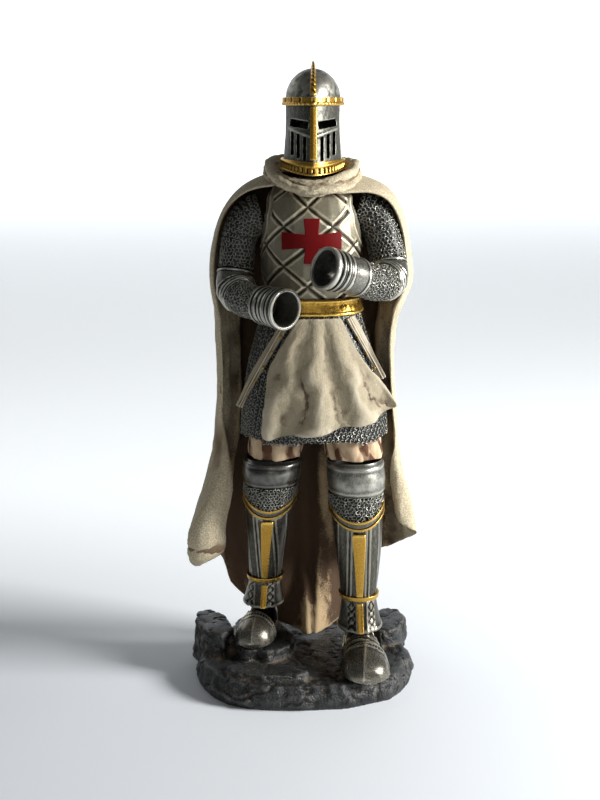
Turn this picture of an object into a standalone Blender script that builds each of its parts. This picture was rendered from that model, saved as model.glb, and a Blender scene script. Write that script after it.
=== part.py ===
"""A knight's suit of plate armour at statuette size, worn on a rock stand with no wearer inside.

Every plate, mail tube and cloth panel is an open wall lofted through a few rings and given its
thickness with Solidify. Anything that lies on another piece is made from that piece's own rings,
moved out. +X is the wearer's left, -Y is the front and +Z is up.
"""

import math

import bmesh
import bpy
import numpy as np
from mathutils import Matrix, Vector

MM = 0.001

# Driving dimensions, in millimetres.
PLATE_WALL = 1.1
MAIL_WALL = 1.2
CLOTH_WALL = 1.3
TRIM_WALL = 0.9
SEAM = 0.35  # clear gap between neighbouring pieces
STAND_TOP = 12.0
STEP_TOP = 18.0  # the ledge under the wearer's right foot

LIMB_SIDES = 14
BODY_SIDES = 28


# ---------------------------------------------------------------- scene and materials


def clear_scene():
    """Empties the scene and makes the collections for the suit and for its cutters."""
    for thing in list(bpy.data.objects):
        bpy.data.objects.remove(thing)
    made = []
    for name in ("knight_suit", "cutters"):
        collection = bpy.data.collections.new(name)
        bpy.context.scene.collection.children.link(collection)
        made.append(collection)
    return made


def paint(name, colour, roughness, metallic=0.0):
    """A Principled material of one colour."""
    material = bpy.data.materials.new(name)
    material.use_nodes = True
    shader = material.node_tree.nodes["Principled BSDF"]
    shader.inputs["Base Color"].default_value = (*colour, 1.0)
    shader.inputs["Roughness"].default_value = roughness
    shader.inputs["Metallic"].default_value = metallic
    return material


SUIT, CUTTERS = clear_scene()
STEEL = paint("worn_steel", (0.34, 0.35, 0.34), 0.38, 0.9)
DARK_STEEL = paint("blackened_steel", (0.06, 0.065, 0.065), 0.4, 0.7)
MAIL = paint("mail", (0.16, 0.17, 0.16), 0.45, 0.8)
GOLD = paint("gold", (0.62, 0.4, 0.08), 0.35, 0.85)
QUILT = paint("quilted_panel", (0.3, 0.27, 0.2), 0.45, 0.35)
CLOTH = paint("cream_cloth", (0.62, 0.54, 0.42), 0.85)
CLOAK = paint("cloak_cloth", (0.55, 0.48, 0.37), 0.88)
RED = paint("red_enamel", (0.38, 0.01, 0.02), 0.45)
ROCK = paint("dark_rock", (0.07, 0.075, 0.075), 0.6)


# ---------------------------------------------------------------- rings and walls


def blend(table, at):
    """A value at one place in a table of (place, value) pairs, straight between neighbours."""
    places, values = zip(*sorted(table))
    return float(np.interp(at, places, values))


def oval(z, half_width, front, back, angles, centre=(0.0, 0.0), turn=0.0, power=2.0, dip=0.0):
    """A level ring. Angles run from the front middle round by the wearer's left, in degrees.

    A power under 2 draws the front half to a prow, and dip lowers the ring towards the front.
    """
    ring = []
    for angle in np.radians(angles):
        side, ahead = math.sin(angle), math.cos(angle)
        grip = 2.0 / power if ahead > 0 else 1.0
        x = half_width * math.copysign(abs(side) ** grip, side)
        y = -(front if ahead > 0 else back) * math.copysign(abs(ahead) ** grip, ahead)
        ring.append((x, y, z - dip * max(0.0, ahead) ** 2))
    ring = np.array(ring)
    cos_turn, sin_turn = math.cos(math.radians(turn)), math.sin(math.radians(turn))
    turned = ring[:, :2] @ np.array([[cos_turn, sin_turn], [-sin_turn, cos_turn]])
    return np.column_stack([turned + np.array(centre), ring[:, 2]])


def all_round(sides):
    """Evenly spaced angles for a closed ring."""
    return [360.0 * k / sides for k in range(sides)]


def limb_rings(path, radii, sides):
    """Rings square to a bent path of points, each of its own radius."""
    path = np.array(path, float)
    ahead = np.gradient(path, axis=0)
    ahead /= np.linalg.norm(ahead, axis=1)[:, None]
    side = np.cross(ahead[0], (0.0, -1.0, 0.0))
    rings = []
    for point, direction, radius in zip(path, ahead, radii):
        side = side - direction * (side @ direction)
        side /= np.linalg.norm(side)
        up = np.cross(direction, side)
        turns = np.radians(all_round(sides))
        rings.append([point + radius * (math.cos(t) * side + math.sin(t) * up) for t in turns])
    return np.array(rings)


def smooth_path(points, steps):
    """Points along a Catmull-Rom curve through the given ones, steps to each span."""
    points = [np.array(p, float) for p in points]
    padded = [2 * points[0] - points[1], *points, 2 * points[-1] - points[-2]]
    made = []
    for before, start, end, after in zip(padded, padded[1:], padded[2:], padded[3:]):
        for t in np.arange(steps) / steps:
            made.append(
                0.5
                * (
                    2 * start
                    + (end - before) * t
                    + (2 * before - 5 * start + 4 * end - after) * t**2
                    + (3 * start - before - 3 * end + after) * t**3
                )
            )
    return np.array([*made, points[-1]])


def lifted(rows, distance, closed):
    """The same rows moved out along the surface's own normals."""
    rows = np.array(rows, float)
    down = np.gradient(rows, axis=0)
    if closed:
        along = np.roll(rows, -1, axis=1) - np.roll(rows, 1, axis=1)
    else:
        along = np.gradient(rows, axis=1)
    normal = np.cross(along, down)
    normal /= np.maximum(np.linalg.norm(normal, axis=2), 1e-9)[..., None]
    return rows + normal * distance


def skin(name, rows, closed, pole=None):
    """A mesh through rows of points. Rows run up the piece, so that its faces point out."""
    mesh = bpy.data.meshes.new(name)
    frame = bmesh.new()
    points = [[frame.verts.new(Vector(p) * MM) for p in row] for row in rows]
    width = len(points[0])
    for low, high in zip(points, points[1:]):
        for k in range(width if closed else width - 1):
            n = (k + 1) % width
            frame.faces.new((low[k], low[n], high[n], high[k]))
    if pole is not None:
        top = frame.verts.new(Vector(pole) * MM)
        for k in range(width):
            frame.faces.new((points[-1][k], points[-1][(k + 1) % width], top))
    frame.to_mesh(mesh)
    frame.free()
    return mesh


def place(name, mesh, material, collection=None):
    """Puts a mesh in the scene as a named part."""
    made = bpy.data.objects.new(name, mesh)
    (collection or SUIT).objects.link(made)
    if material is not None:
        mesh.materials.append(material)
        mesh.shade_smooth()
        mesh.set_sharp_from_angle(angle=math.radians(40))
    return made


def thicken(made, wall):
    """Gives an open surface a wall that grows outwards."""
    solid = made.modifiers.new("wall", "SOLIDIFY")
    solid.thickness = wall * MM
    solid.offset = 1.0
    return made


def wall_piece(name, rows, wall, material, closed=True, lift=0.0, pole=None):
    """A worn wall: rows of points, lifted clear of what is under them, then thickened."""
    rows = lifted(rows, lift, closed) if lift else rows
    return thicken(place(name, skin(name, rows, closed, pole), material), wall)


def cut(made, cutter):
    """Takes the cutter's shape out of a part."""
    cutter.hide_render = True
    cutter.display_type = "WIRE"
    tool = made.modifiers.new("cut", "BOOLEAN")
    tool.operation = "DIFFERENCE"
    tool.object = cutter


def closed_mesh(name, rows):
    """A closed mesh lofted through closed rows, with flat ends."""
    mesh = skin(name, rows, True)
    frame = bmesh.new()
    frame.from_mesh(mesh)
    bmesh.ops.holes_fill(frame, edges=[e for e in frame.edges if e.is_boundary])
    bmesh.ops.recalc_face_normals(frame, faces=frame.faces)
    frame.to_mesh(mesh)
    frame.free()
    return mesh


def box_cutter(name, boxes):
    """One mesh of several boxes: each has a middle, a size and a tilt about the front axis."""
    mesh = bpy.data.meshes.new(name)
    frame = bmesh.new()
    for middle, size, tilt in boxes:
        turned = Matrix.Translation(Vector(middle) * MM) @ Matrix.Rotation(
            math.radians(tilt), 4, "Y"
        )
        sized = Matrix.Diagonal((*(Vector(size) * MM), 1.0))
        bmesh.ops.create_cube(frame, size=1.0, matrix=turned @ sized)
    frame.to_mesh(mesh)
    frame.free()
    return place(name, mesh, None, CUTTERS)


# ---------------------------------------------------------------- helm

BROW = 282.7  # seam between the skull and the plates below it
SKULL_HEIGHT = 13.0
SKULL_HALF = 11.9
SKULL_FRONT = 17.2
SKULL_BACK = 14.2
SKULL_DRAW = 1.6  # how far the prow is drawn back by the top of the skull
# Height, half width, front and back of the inner face below the brow.
FACE_SECTIONS = (
    (251.6, 13.2, 19.9, 15.6),
    (256.4, 12.7, 19.5, 15.2),
    (262.5, 12.2, 19.0, 14.8),
    (269.5, 11.7, 18.4, 14.0),
    (276.0, 11.6, 17.6, 14.0),
    (282.4, 11.9, 17.2, 14.0),
)
FACE_DIP = 2.2  # how much lower the rim is at the prow
PROW = 1.35
FACE_EDGE = 76.0  # the face plate meets the nape plate at this angle
EYE_SLOT = (8.4, 30.0, 3.3)
BREATH_SLOT = (1.4, 30.0, 11.0)


def helm_ring(z, angles, grow=0.0):
    """A ring of the plates below the brow at any height."""
    table = FACE_SECTIONS
    half_width, front, back = (
        blend([(row[0], row[k]) for row in table], z) + grow for k in (1, 2, 3)
    )
    low = max(0.0, 1.0 - (z - table[0][0]) / 9.0)
    return oval(z, half_width, front, back, angles, power=PROW, dip=FACE_DIP * low)


def skull_ring(rise, angles, grow=0.0):
    """A ring of the skull; rise is 0 at the brow and 90 degrees at the top."""
    shrink, height = math.cos(math.radians(rise)), math.sin(math.radians(rise))
    power = PROW + (2.0 - PROW) * min(1.0, max(0.0, rise - 8.0) / 40.0)
    return oval(
        BROW + SEAM + (SKULL_HEIGHT + grow) * height,
        (SKULL_HALF + grow) * shrink,
        (SKULL_FRONT - SKULL_DRAW * height + grow) * shrink,
        (SKULL_BACK + grow) * shrink,
        angles,
        power=power,
    )


def make_helm():
    angles = all_round(24)
    skull_rows = [skull_ring(rise, angles) for rise in (0, 14, 28, 43, 58, 74)]
    skull_top = (0.0, 0.0, BROW + SEAM + SKULL_HEIGHT)
    wall_piece("helm_skull", skull_rows, PLATE_WALL, STEEL, pole=skull_top)

    heights = [row[0] for row in FACE_SECTIONS]
    face = wall_piece(
        "helm_face_plate",
        [helm_ring(z, np.linspace(-FACE_EDGE, FACE_EDGE, 13)) for z in heights],
        PLATE_WALL,
        STEEL,
        closed=False,
    )
    slots = []
    for side in (-1, 1):
        slots.append(((side * 6.4, -19.0, 272.3), EYE_SLOT, -side * 9.0))
        for k, (x, z) in enumerate(((3.9, 261.4), (6.8, 262.6), (9.5, 263.8))):
            slots.append(((side * x, -19.0, z), BREATH_SLOT, 0.0))
    cut(face, box_cutter("helm_slots_cutter", slots))

    nape_angles = np.linspace(FACE_EDGE + 2.0, 358.0 - FACE_EDGE, 13)
    wall_piece(
        "helm_nape_plate",
        [helm_ring(z, nape_angles) for z in heights],
        PLATE_WALL,
        STEEL,
        closed=False,
    )

    clear = PLATE_WALL + SEAM
    band = [helm_ring(z, angles, clear + 0.15) for z in (BROW - 2.2, BROW - 0.4)]
    band.append(band[-1] + np.array((0.0, 0.0, 1.8)))
    wall_piece("helm_brow_band", band, TRIM_WALL, GOLD)

    hem = [helm_ring(z, angles) for z in (251.6, 256.4)]
    wall_piece("helm_rim_trim", hem, TRIM_WALL, GOLD, lift=clear)

    rib_heights = (257.2, 262.5, 269.5, 276.0, 279.9)
    ridge = [helm_ring(z, (-11.0, 0.0, 11.0), clear) for z in rib_heights]
    wall_piece("helm_prow_rib", ridge, TRIM_WALL, GOLD, closed=False)

    make_comb()


COMB_HALF = 1.7  # half the comb's thickness at its foot
COMB_CREST = 0.5  # and along its crest
COMB_STEPS = 13


def make_comb():
    """The fin along the middle of the skull: a wedge that is tallest over the brow."""
    rows = []
    for rise in np.linspace(8, 172, COMB_STEPS):
        angle = math.radians(rise)
        reach = SKULL_FRONT - SKULL_DRAW * math.sin(angle) if rise < 90 else SKULL_BACK
        foot = PLATE_WALL + SEAM
        crest = foot + 0.9 + 1.9 * math.exp(-(((rise - 82.0) / 26.0) ** 2))
        thin = 1.0 - 0.35 * math.sin(angle)
        left_side = ((-COMB_HALF, foot), (-COMB_CREST, crest))
        row = []
        for across, grow in (*left_side, (COMB_CREST, crest), (COMB_HALF, foot)):
            y = -(reach + grow) * math.cos(angle)
            z = BROW + SEAM + (SKULL_HEIGHT + grow) * math.sin(angle)
            row.append((across * thin, y, z))
        rows.append(row)
    place("helm_comb", closed_mesh("helm_comb", rows), GOLD)


# ---------------------------------------------------------------- coat, belt and mail skirt

TORSO_TURN = 8.0  # the chest faces a little to the wearer's left
# Height, half width, front, back and middle of the coat's inner face, from the waist up.
COAT_SECTIONS = (
    (189.5, 21.4, 18.6, 15.6, -1.0),
    (197.0, 21.8, 19.4, 16.2, -0.8),
    (208.0, 22.3, 20.4, 17.0, -0.7),
    (220.0, 22.6, 20.6, 17.4, -0.6),
    (231.0, 22.4, 19.2, 16.6, -0.6),
    (238.5, 20.4, 16.0, 14.8, -0.6),
    (243.2, 16.2, 12.6, 12.4, -0.6),
    (246.6, 12.8, 9.6, 10.6, -0.6),
)
# Height, half width, front, back and middle of the mail skirt's inner face, from the hem up.
SKIRT_SECTIONS = (
    (125.2, 34.6, 25.8, 22.4, 0.8),
    (134.0, 34.2, 25.8, 22.2, 0.8),
    (147.0, 32.4, 24.6, 21.2, 0.5),
    (161.0, 29.4, 22.8, 19.6, -0.3),
    (176.0, 24.8, 20.2, 17.2, -0.7),
    (188.9, 21.4, 18.6, 15.6, -1.0),
)
WAIST_TURN = 0.0
SKIRT_POWER = 2.3  # over 2 makes the front squarer than an ellipse


def section(table, z, column):
    return blend([(row[0], row[column]) for row in table], z)


def coat_ring(z, angles, grow=0.0):
    turn = WAIST_TURN + (TORSO_TURN - WAIST_TURN) * min(1.0, max(0.0, (z - 189.0) / 25.0))
    half_width, front, back, middle = (section(COAT_SECTIONS, z, k) for k in (1, 2, 3, 4))
    return oval(
        z, half_width + grow, front + grow, back + grow, angles, (middle, 0.0), turn, power=2.15
    )


def skirt_ring(z, angles, grow=0.0, ripple=0.0):
    half_width, front, back, middle = (section(SKIRT_SECTIONS, z, k) for k in (1, 2, 3, 4))
    turn = WAIST_TURN * max(0.0, (z - 150.0) / 39.0)
    reach = (half_width + grow, front + grow, back + grow)
    ring = oval(z, *reach, angles, (middle, 0.0), turn, power=SKIRT_POWER)
    waves = np.sin(np.radians(angles) * 5.0 + 0.6)
    ring[:, 2] += ripple * waves
    return ring


def on_skirt(x, z, lift):
    """The point on the front of the mail skirt at x and z, moved out by lift."""
    half_width, front, middle = (section(SKIRT_SECTIONS, z, k) for k in (1, 2, 4))
    share = (x - middle) / half_width
    held = min(0.9, max(-0.9, share))
    ahead = (1.0 - abs(held) ** SKIRT_POWER) ** (1.0 / SKIRT_POWER)
    slope = SKIRT_POWER - 1.0
    out = np.array(
        (math.copysign(abs(held) ** slope, held) / half_width, -(ahead**slope) / front, 0.0)
    )
    out /= np.linalg.norm(out)
    foot = np.array((middle + half_width * held, -front * ahead, z))
    return foot + out * lift + np.array(((share - held) * half_width, 0.0, 0.0))


def make_coat(arm_clearances):
    angles = all_round(BODY_SIDES)
    rows = [coat_ring(row[0], angles) for row in COAT_SECTIONS]
    coat = wall_piece("quilted_coat", rows, 1.4, QUILT)
    for clearance in arm_clearances:
        cut(coat, clearance)

    lift = 1.4 + SEAM
    make_cross(lift + 0.1)

    band = [skirt_ring(185.0, angles, lift - 0.2), skirt_ring(188.6, angles, lift)]
    band += [coat_ring(189.6, angles, lift), coat_ring(193.2, angles, lift)]
    wall_piece("gold_belt", band, 1.3, GOLD)


def on_coat(x, z, lift):
    """The point on the front of the coat at x and z, moved out by lift."""
    angles = np.linspace(-80.0, 80.0, 161)
    ring = coat_ring(z, angles, lift)
    y = float(np.interp(x, ring[:, 0], ring[:, 1]))
    return np.array((x, y, z))


CROSS_MIDDLE = (-0.7, 220.2)
CROSS_GRID = (-13.4, -10.2, -6.6, -3.0, 0.0, 3.0, 6.6, 10.2, 13.4)
CROSS_HALF = 3.0  # half the width of an arm near the middle
CROSS_FLARE = 0.36  # how much wider an arm is at its end
CROSS_UPRIGHT = 10.2  # half the height of the upright


def make_cross(lift):
    """A plain cross with arms that widen to their ends, laid on the front of the coat."""
    frame = bmesh.new()

    def flare(along):
        return 1.0 + CROSS_FLARE * max(0.0, (abs(along) - CROSS_HALF) / 10.4) ** 1.2

    corners = {}
    for u in CROSS_GRID:
        for v in CROSS_GRID:
            if min(abs(u), abs(v)) > CROSS_HALF or abs(v) > CROSS_UPRIGHT:
                continue
            x = u * flare(v) if abs(u) <= CROSS_HALF else u
            z = v * flare(u) if abs(v) <= CROSS_HALF else v
            point = on_coat(CROSS_MIDDLE[0] + x, CROSS_MIDDLE[1] + z, lift)
            corners[u, v] = frame.verts.new(Vector(point) * MM)
    for left, right in zip(CROSS_GRID, CROSS_GRID[1:]):
        for low, high in zip(CROSS_GRID, CROSS_GRID[1:]):
            cell = [corners.get(k) for k in ((left, low), (right, low), (right, high), (left, high))]
            if all(cell):
                frame.faces.new(cell)
    mesh = bpy.data.meshes.new("red_cross")
    frame.to_mesh(mesh)
    frame.free()
    thicken(place("red_cross", mesh, RED), 1.0)


STRAP_RIGHT = ((-10.4, 184.2), (-16.6, 173.0), (-23.2, 161.0), (-29.0, 150.0), (-33.4, 141.0))
STRAP_LEFT = ((15.8, 184.2), (21.4, 173.5), (28.0, 161.5), (31.8, 154.5))
STRAP_HALF = 1.7


def make_strap(name, line):
    """A flat strap from the belt down over the hip, laid on the mail."""
    line = smooth_path([(x, 0.0, z) for x, z in line], 2)[:, [0, 2]]
    ahead = np.gradient(line, axis=0)
    ahead /= np.linalg.norm(ahead, axis=1)[:, None]
    across = np.column_stack([-ahead[:, 1], ahead[:, 0]])
    rows = []
    for share in (-1.0, 0.0, 1.0):
        edge = line + across * STRAP_HALF * share
        rows.append([on_skirt(x, min(z, 184.6), MAIL_WALL + SEAM + 0.25) for x, z in edge])
    rows = np.array(rows).transpose(1, 0, 2)[::-1]
    return wall_piece(name, rows, 1.2, CLOTH, closed=False)


FLAP_ROWS = 8
FLAP_COLUMNS = 15
# Height and x of the flap's two side edges, and x and height of its hem.
FLAP_RIGHT_EDGE = ((184.2, -6.6), (173.0, -12.6), (167.0, -16.4), (160.0, -20.0), (127.0, -21.2))
FLAP_LEFT_EDGE = ((184.2, 11.6), (170.0, 18.2), (158.0, 25.0), (150.0, 31.0), (141.0, 37.8))
FLAP_HEM = ((-21.2, 127.0), (-14.0, 128.4), (-6.0, 130.2), (8.0, 132.2), (22.0, 134.8), (38.0, 141.0))


def make_flap():
    """The coat's front skirt: one cloth panel with soft folds, swept to the wearer's left."""
    rows = []
    for t in np.linspace(1.0, 0.0, FLAP_ROWS):
        row = []
        for s in np.linspace(0.0, 1.0, FLAP_COLUMNS):
            hem_x = -21.2 + (37.8 + 21.2) * s**0.96
            hem_z = blend(FLAP_HEM, hem_x)
            z = 184.2 + (hem_z - 184.2) * t
            left, right = blend(FLAP_LEFT_EDGE, z), blend(FLAP_RIGHT_EDGE, z)
            x = right + (left - right) * s**0.96
            deep = 0.5 + 2.6 * t
            fold = deep * (0.5 + 0.5 * math.cos(2 * math.pi * (2.6 * s + 0.22 * t - 0.1)))
            sweep = 3.0 * t**2 * max(0.0, s - 0.72) / 0.28
            row.append(on_skirt(x, z, MAIL_WALL + SEAM + 0.3 + fold - 0.4 * sweep + sweep))
        rows.append(row)
    wall_piece("coat_front_skirt", rows, CLOTH_WALL, CLOTH, closed=False)


def make_skirt():
    angles = all_round(BODY_SIDES)
    rows = []
    for row in SKIRT_SECTIONS:
        near_hem = max(0.0, 1.0 - (row[0] - 125.2) / 22.0)
        rows.append(skirt_ring(row[0], angles, ripple=0.9 * near_hem))
    wall_piece("mail_skirt", rows, MAIL_WALL, MAIL)
    make_strap("hip_strap_right", STRAP_RIGHT)
    make_strap("hip_strap_left", STRAP_LEFT)
    make_flap()


# ---------------------------------------------------------------- arms

# Each arm's middle line from the shoulder to the open cuff, and its inner radius there.
RIGHT_ARM = (
    ((-22.0, 1.5, 232.0), 8.8),
    ((-29.6, 1.0, 229.0), 9.0),
    ((-34.6, -0.5, 220.0), 8.2),
    ((-36.0, -2.0, 208.5), 8.2),
    ((-36.6, -6.5, 197.4), 8.2),
    ((-32.0, -16.5, 192.8), 8.0),
    ((-25.0, -26.0, 192.2), 7.6),
    ((-19.0, -32.8, 191.9), 7.8),
    ((-12.6, -39.8, 191.6), 8.8),
)
LEFT_ARM = (
    ((19.0, 1.5, 234.6), 9.2),
    ((27.0, 0.8, 231.4), 9.4),
    ((32.6, -1.0, 222.4), 8.6),
    ((35.0, -3.0, 212.0), 8.4),
    ((35.8, -8.4, 202.6), 8.4),
    ((31.0, -18.6, 200.6), 8.4),
    ((23.0, -27.6, 203.6), 8.0),
    ((14.4, -35.8, 207.2), 8.0),
    ((5.0, -43.4, 210.6), 9.0),
)
ARM_STEPS = 3  # rings to each span of the middle line
# First and last ring of each piece along the arm.
SHOULDER, UPPER_HEM, ELBOW_END, FORE_END, CUFF_END = 1, 10, 14, 19, 24


ELBOW_BULGE = (0.5, 1.0, 1.3, 0.9, 0.3)
CUFF_SWELL = (0.5, 0.6, 1.0, 0.7, 1.1, 0.9)


def swollen(rings, amounts):
    """Rings grown about their own middles by an amount each."""
    middles = rings.mean(axis=1, keepdims=True)
    spokes = rings - middles
    length = np.linalg.norm(spokes, axis=2, keepdims=True)
    return middles + spokes * (1.0 + np.array(amounts)[:, None, None] / length)


def make_arm(side, stations):
    """Mail sleeve, elbow guard, mail forearm and ridged cuff, one after the other."""
    points = [np.array((*point, radius)) for point, radius in stations]
    line = smooth_path(points, ARM_STEPS)
    rings = limb_rings(line[:, :3], line[:, 3], LIMB_SIDES)
    ahead = np.gradient(line[:, :3], axis=0)
    ahead /= np.linalg.norm(ahead, axis=1)[:, None]

    def stretch(first, last):
        """The rings from one station to another, clear of the piece before them."""
        rows = rings[first : last + 1].copy()
        if first > SHOULDER:
            rows[0] += ahead[first] * SEAM
        return rows[::-1]

    wall_piece(f"mail_sleeve_{side}", stretch(SHOULDER, UPPER_HEM), MAIL_WALL, MAIL)
    guard = stretch(UPPER_HEM, ELBOW_END)
    guard = swollen(guard, ELBOW_BULGE)
    wall_piece(f"elbow_guard_{side}", guard, PLATE_WALL, STEEL)
    wall_piece(f"mail_forearm_{side}", stretch(ELBOW_END, FORE_END), MAIL_WALL, MAIL)

    cuff = stretch(FORE_END, CUFF_END)
    cuff = swollen(cuff, CUFF_SWELL)
    wall_piece(f"cuff_{side}", cuff, PLATE_WALL, STEEL)

    bore = swollen(rings[:UPPER_HEM:3], [MAIL_WALL + SEAM + 0.25] * 4)
    inward = np.array((12.0 if side == "right" else -12.0, 0.0, 1.0))
    bore = np.concatenate([bore[:1] + inward, bore[1:]])
    name = f"armhole_{side}_cutter"
    return place(name, closed_mesh(name, bore[::-1]), None, CUTTERS)


# ---------------------------------------------------------------- legs

# Height, middle x, middle y, half width, front and back of each leg's inner face.
LEGS = {
    "right": {
        "thigh": (
            (114.9, -18.4, -5.0, 12.0, 13.2, 12.2),
            (122.0, -17.8, -4.4, 12.6, 13.4, 12.8),
            (131.0, -16.8, -3.6, 12.6, 13.2, 13.0),
            (142.0, -15.6, -3.0, 12.2, 13.0, 12.8),
        ),
        "knee": (
            (101.8, -20.2, -5.0, 12.6, 13.8, 10.6),
            (104.5, -20.0, -5.2, 13.6, 15.6, 11.0),
            (108.2, -19.8, -5.4, 14.0, 16.6, 11.2),
            (111.8, -19.4, -5.4, 13.6, 15.6, 11.2),
            (114.0, -19.0, -5.2, 12.8, 13.8, 11.0),
        ),
        "shin": (
            (48.0, -23.6, 5.2, 7.0, 7.2, 7.4),
            (57.0, -23.4, 3.4, 7.8, 7.8, 9.2),
            (72.0, -22.8, 0.8, 9.0, 9.0, 10.6),
            (84.0, -21.8, -1.8, 10.4, 10.6, 10.8),
            (94.0, -20.8, -3.8, 11.6, 12.2, 10.4),
            (101.4, -20.2, -5.0, 12.0, 13.0, 10.2),
        ),
        "ankle": (
            (34.6, -24.6, 6.6, 9.6, 11.6, 8.4),
            (40.0, -24.2, 6.2, 8.2, 9.4, 7.8),
            (47.2, -23.6, 5.2, 7.0, 7.2, 7.4),
        ),
        "foot": {"heel": (-22.6, 21.0), "toe": (-30.2, -15.5), "sole": STEP_TOP + SEAM, "half": 8.6},
    },
    "left": {
        "thigh": (
            (114.5, 20.2, -6.0, 13.2, 13.6, 12.6),
            (122.0, 19.6, -5.2, 13.2, 13.6, 13.0),
            (131.0, 17.8, -4.0, 12.8, 13.4, 13.0),
            (142.0, 16.2, -3.2, 12.4, 13.0, 12.8),
        ),
        "knee": (
            (98.0, 21.6, -7.6, 12.4, 14.2, 10.6),
            (101.0, 21.5, -7.8, 13.3, 15.6, 11.0),
            (105.0, 21.3, -7.8, 13.7, 16.4, 11.2),
            (110.0, 20.9, -7.4, 13.3, 15.6, 11.2),
            (113.6, 20.4, -6.8, 12.8, 14.0, 11.0),
        ),
        "shin": (
            (43.6, 23.2, -8.6, 7.6, 8.2, 7.8),
            (53.0, 23.1, -8.8, 8.8, 9.2, 9.6),
            (67.0, 22.9, -8.8, 10.4, 10.6, 11.0),
            (78.0, 22.4, -8.6, 11.4, 11.8, 11.2),
            (90.0, 21.6, -8.2, 12.0, 12.8, 10.6),
            (97.6, 21.0, -7.6, 12.2, 13.2, 10.2),
        ),
        "ankle": (
            (28.2, 23.8, -9.2, 10.4, 12.8, 8.8),
            (34.6, 23.4, -8.8, 8.8, 10.2, 8.2),
            (43.2, 23.2, -8.6, 7.6, 8.2, 7.8),
        ),
        "foot": {"heel": (22.8, 3.6), "toe": (26.6, -43.0), "sole": STAND_TOP + SEAM, "half": 10.4},
    },
}
KNEE_MAIL_DROP = 3.4
KNEE_DIP = 8.6  # the gold-edged plate under the knee hangs to a point in front


def leg_ring(table, z, angles, grow=0.0, dip=0.0):
    x, y, half_width, front, back = (section(table, z, k) for k in range(1, 6))
    ring = oval(z, half_width + grow, front + grow, back + grow, angles, (x, y), power=2.1)
    if dip:
        steep = np.maximum(0.0, np.cos(np.radians(angles))) ** 1.6
        for k, share in enumerate(steep):
            low = z - dip * share
            middle = np.array([section(table, low, 1), section(table, low, 2)])
            reach = [section(table, low, c) + grow for c in (3, 4, 5)]
            ring[k] = oval(low, *reach, [angles[k]], middle, power=2.1)[0]
    return ring


def make_leg(side):
    plan = LEGS[side]
    angles = all_round(LIMB_SIDES)
    thigh, knee, shin, ankle = (plan[k] for k in ("thigh", "knee", "shin", "ankle"))
    wall_piece(
        f"breeches_{side}", [leg_ring(thigh, r[0], angles) for r in thigh], CLOTH_WALL, CLOTH
    )
    wall_piece(f"knee_cop_{side}", [leg_ring(knee, r[0], angles) for r in knee], 1.2, STEEL)

    # Under the knee a mail strip and a black plate between two gold edges hang to a point.
    top = knee[0][0] - SEAM - 0.2
    bands = (
        ("knee_mail", 0.0, KNEE_MAIL_DROP, 0.4, MAIL_WALL, MAIL),
        ("knee_edge_upper", KNEE_MAIL_DROP, 4.9, 0.9, 1.4, GOLD),
        ("knee_plate", 4.9, 7.0, 0.6, PLATE_WALL, DARK_STEEL),
        ("knee_edge_lower", 7.0, 8.4, 0.9, 1.4, GOLD),
    )
    for name, start, end, grow, wall, material in bands:
        rows = []
        for drop in (end, start):
            dip = KNEE_DIP * min(1.0, drop / KNEE_MAIL_DROP)
            level = top - drop - (SEAM if drop == start and start else 0.0)
            rows.append(leg_ring(shin, level, angles, grow, dip))
        wall_piece(f"{name}_{side}", rows, wall, material)

    # The greave's own top edge hangs with that plate.
    greave_top = top - 8.4 - SEAM
    rows = [leg_ring(shin, r[0], angles) for r in shin if r[0] < greave_top - KNEE_DIP - 2.0]
    low_row = greave_top - KNEE_DIP
    rows.append(leg_ring(shin, greave_top, angles, 0.0, KNEE_DIP))
    wall_piece(f"greave_{side}", rows, PLATE_WALL, STEEL)

    clear = PLATE_WALL + SEAM
    heights = np.linspace(shin[0][0] + 2.6, low_row - 0.6, 4)
    rib = [leg_ring(shin, z, (-14.0, 0.0, 14.0), clear + 0.15) for z in heights]
    wall_piece(f"greave_rib_{side}", rib, 1.0, GOLD, closed=False)
    band = [leg_ring(shin, shin[0][0] + d, angles, clear) for d in (0.2, 2.2)]
    wall_piece(f"ankle_band_{side}", band, 1.1, GOLD)
    wall_piece(f"ankle_plate_{side}", [leg_ring(ankle, r[0], angles) for r in ankle], PLATE_WALL, STEEL)
    heights = np.linspace(ankle[0][0] + 0.4, ankle[-1][0] - 0.6, 3)
    rib = [leg_ring(ankle, z, (-15.0, 0.0, 15.0), clear + 0.1) for z in heights]
    wall_piece(f"ankle_rib_{side}", rib, 1.0, GOLD, closed=False)
    make_foot(side, plan)


# Share of the foot's length from the heel, half-width share and height of the upper there.
FOOT_SECTIONS = (
    (0.00, 0.42, 9.0),
    (0.08, 0.72, 15.2),
    (0.22, 0.84, 15.4),
    (0.42, 0.90, 15.3),
    (0.54, 0.95, 15.0),
    (0.66, 1.01, 12.4),
    (0.78, 1.03, 10.6),
    (0.88, 0.97, 9.2),
    (0.95, 0.79, 7.4),
    (1.00, 0.50, 4.9),
)
FOOT_SIDES = 14
TOE_CAP = (0.66, 0.77, 0.87, 0.93, 0.97, 1.0)  # where the toe cap's rows stand on the foot
TOE_CAP_AHEAD = 0.8  # how far its front stands ahead of the foot
TOE_CAP_END = (0.9, 0.08)  # how far ahead of that the closing row is, and its share of the size
ARCH_POWER = 0.86  # under 1 makes the arch squarer than an ellipse
WELT = 0.92  # the sole's width as a share of the upper's


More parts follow.
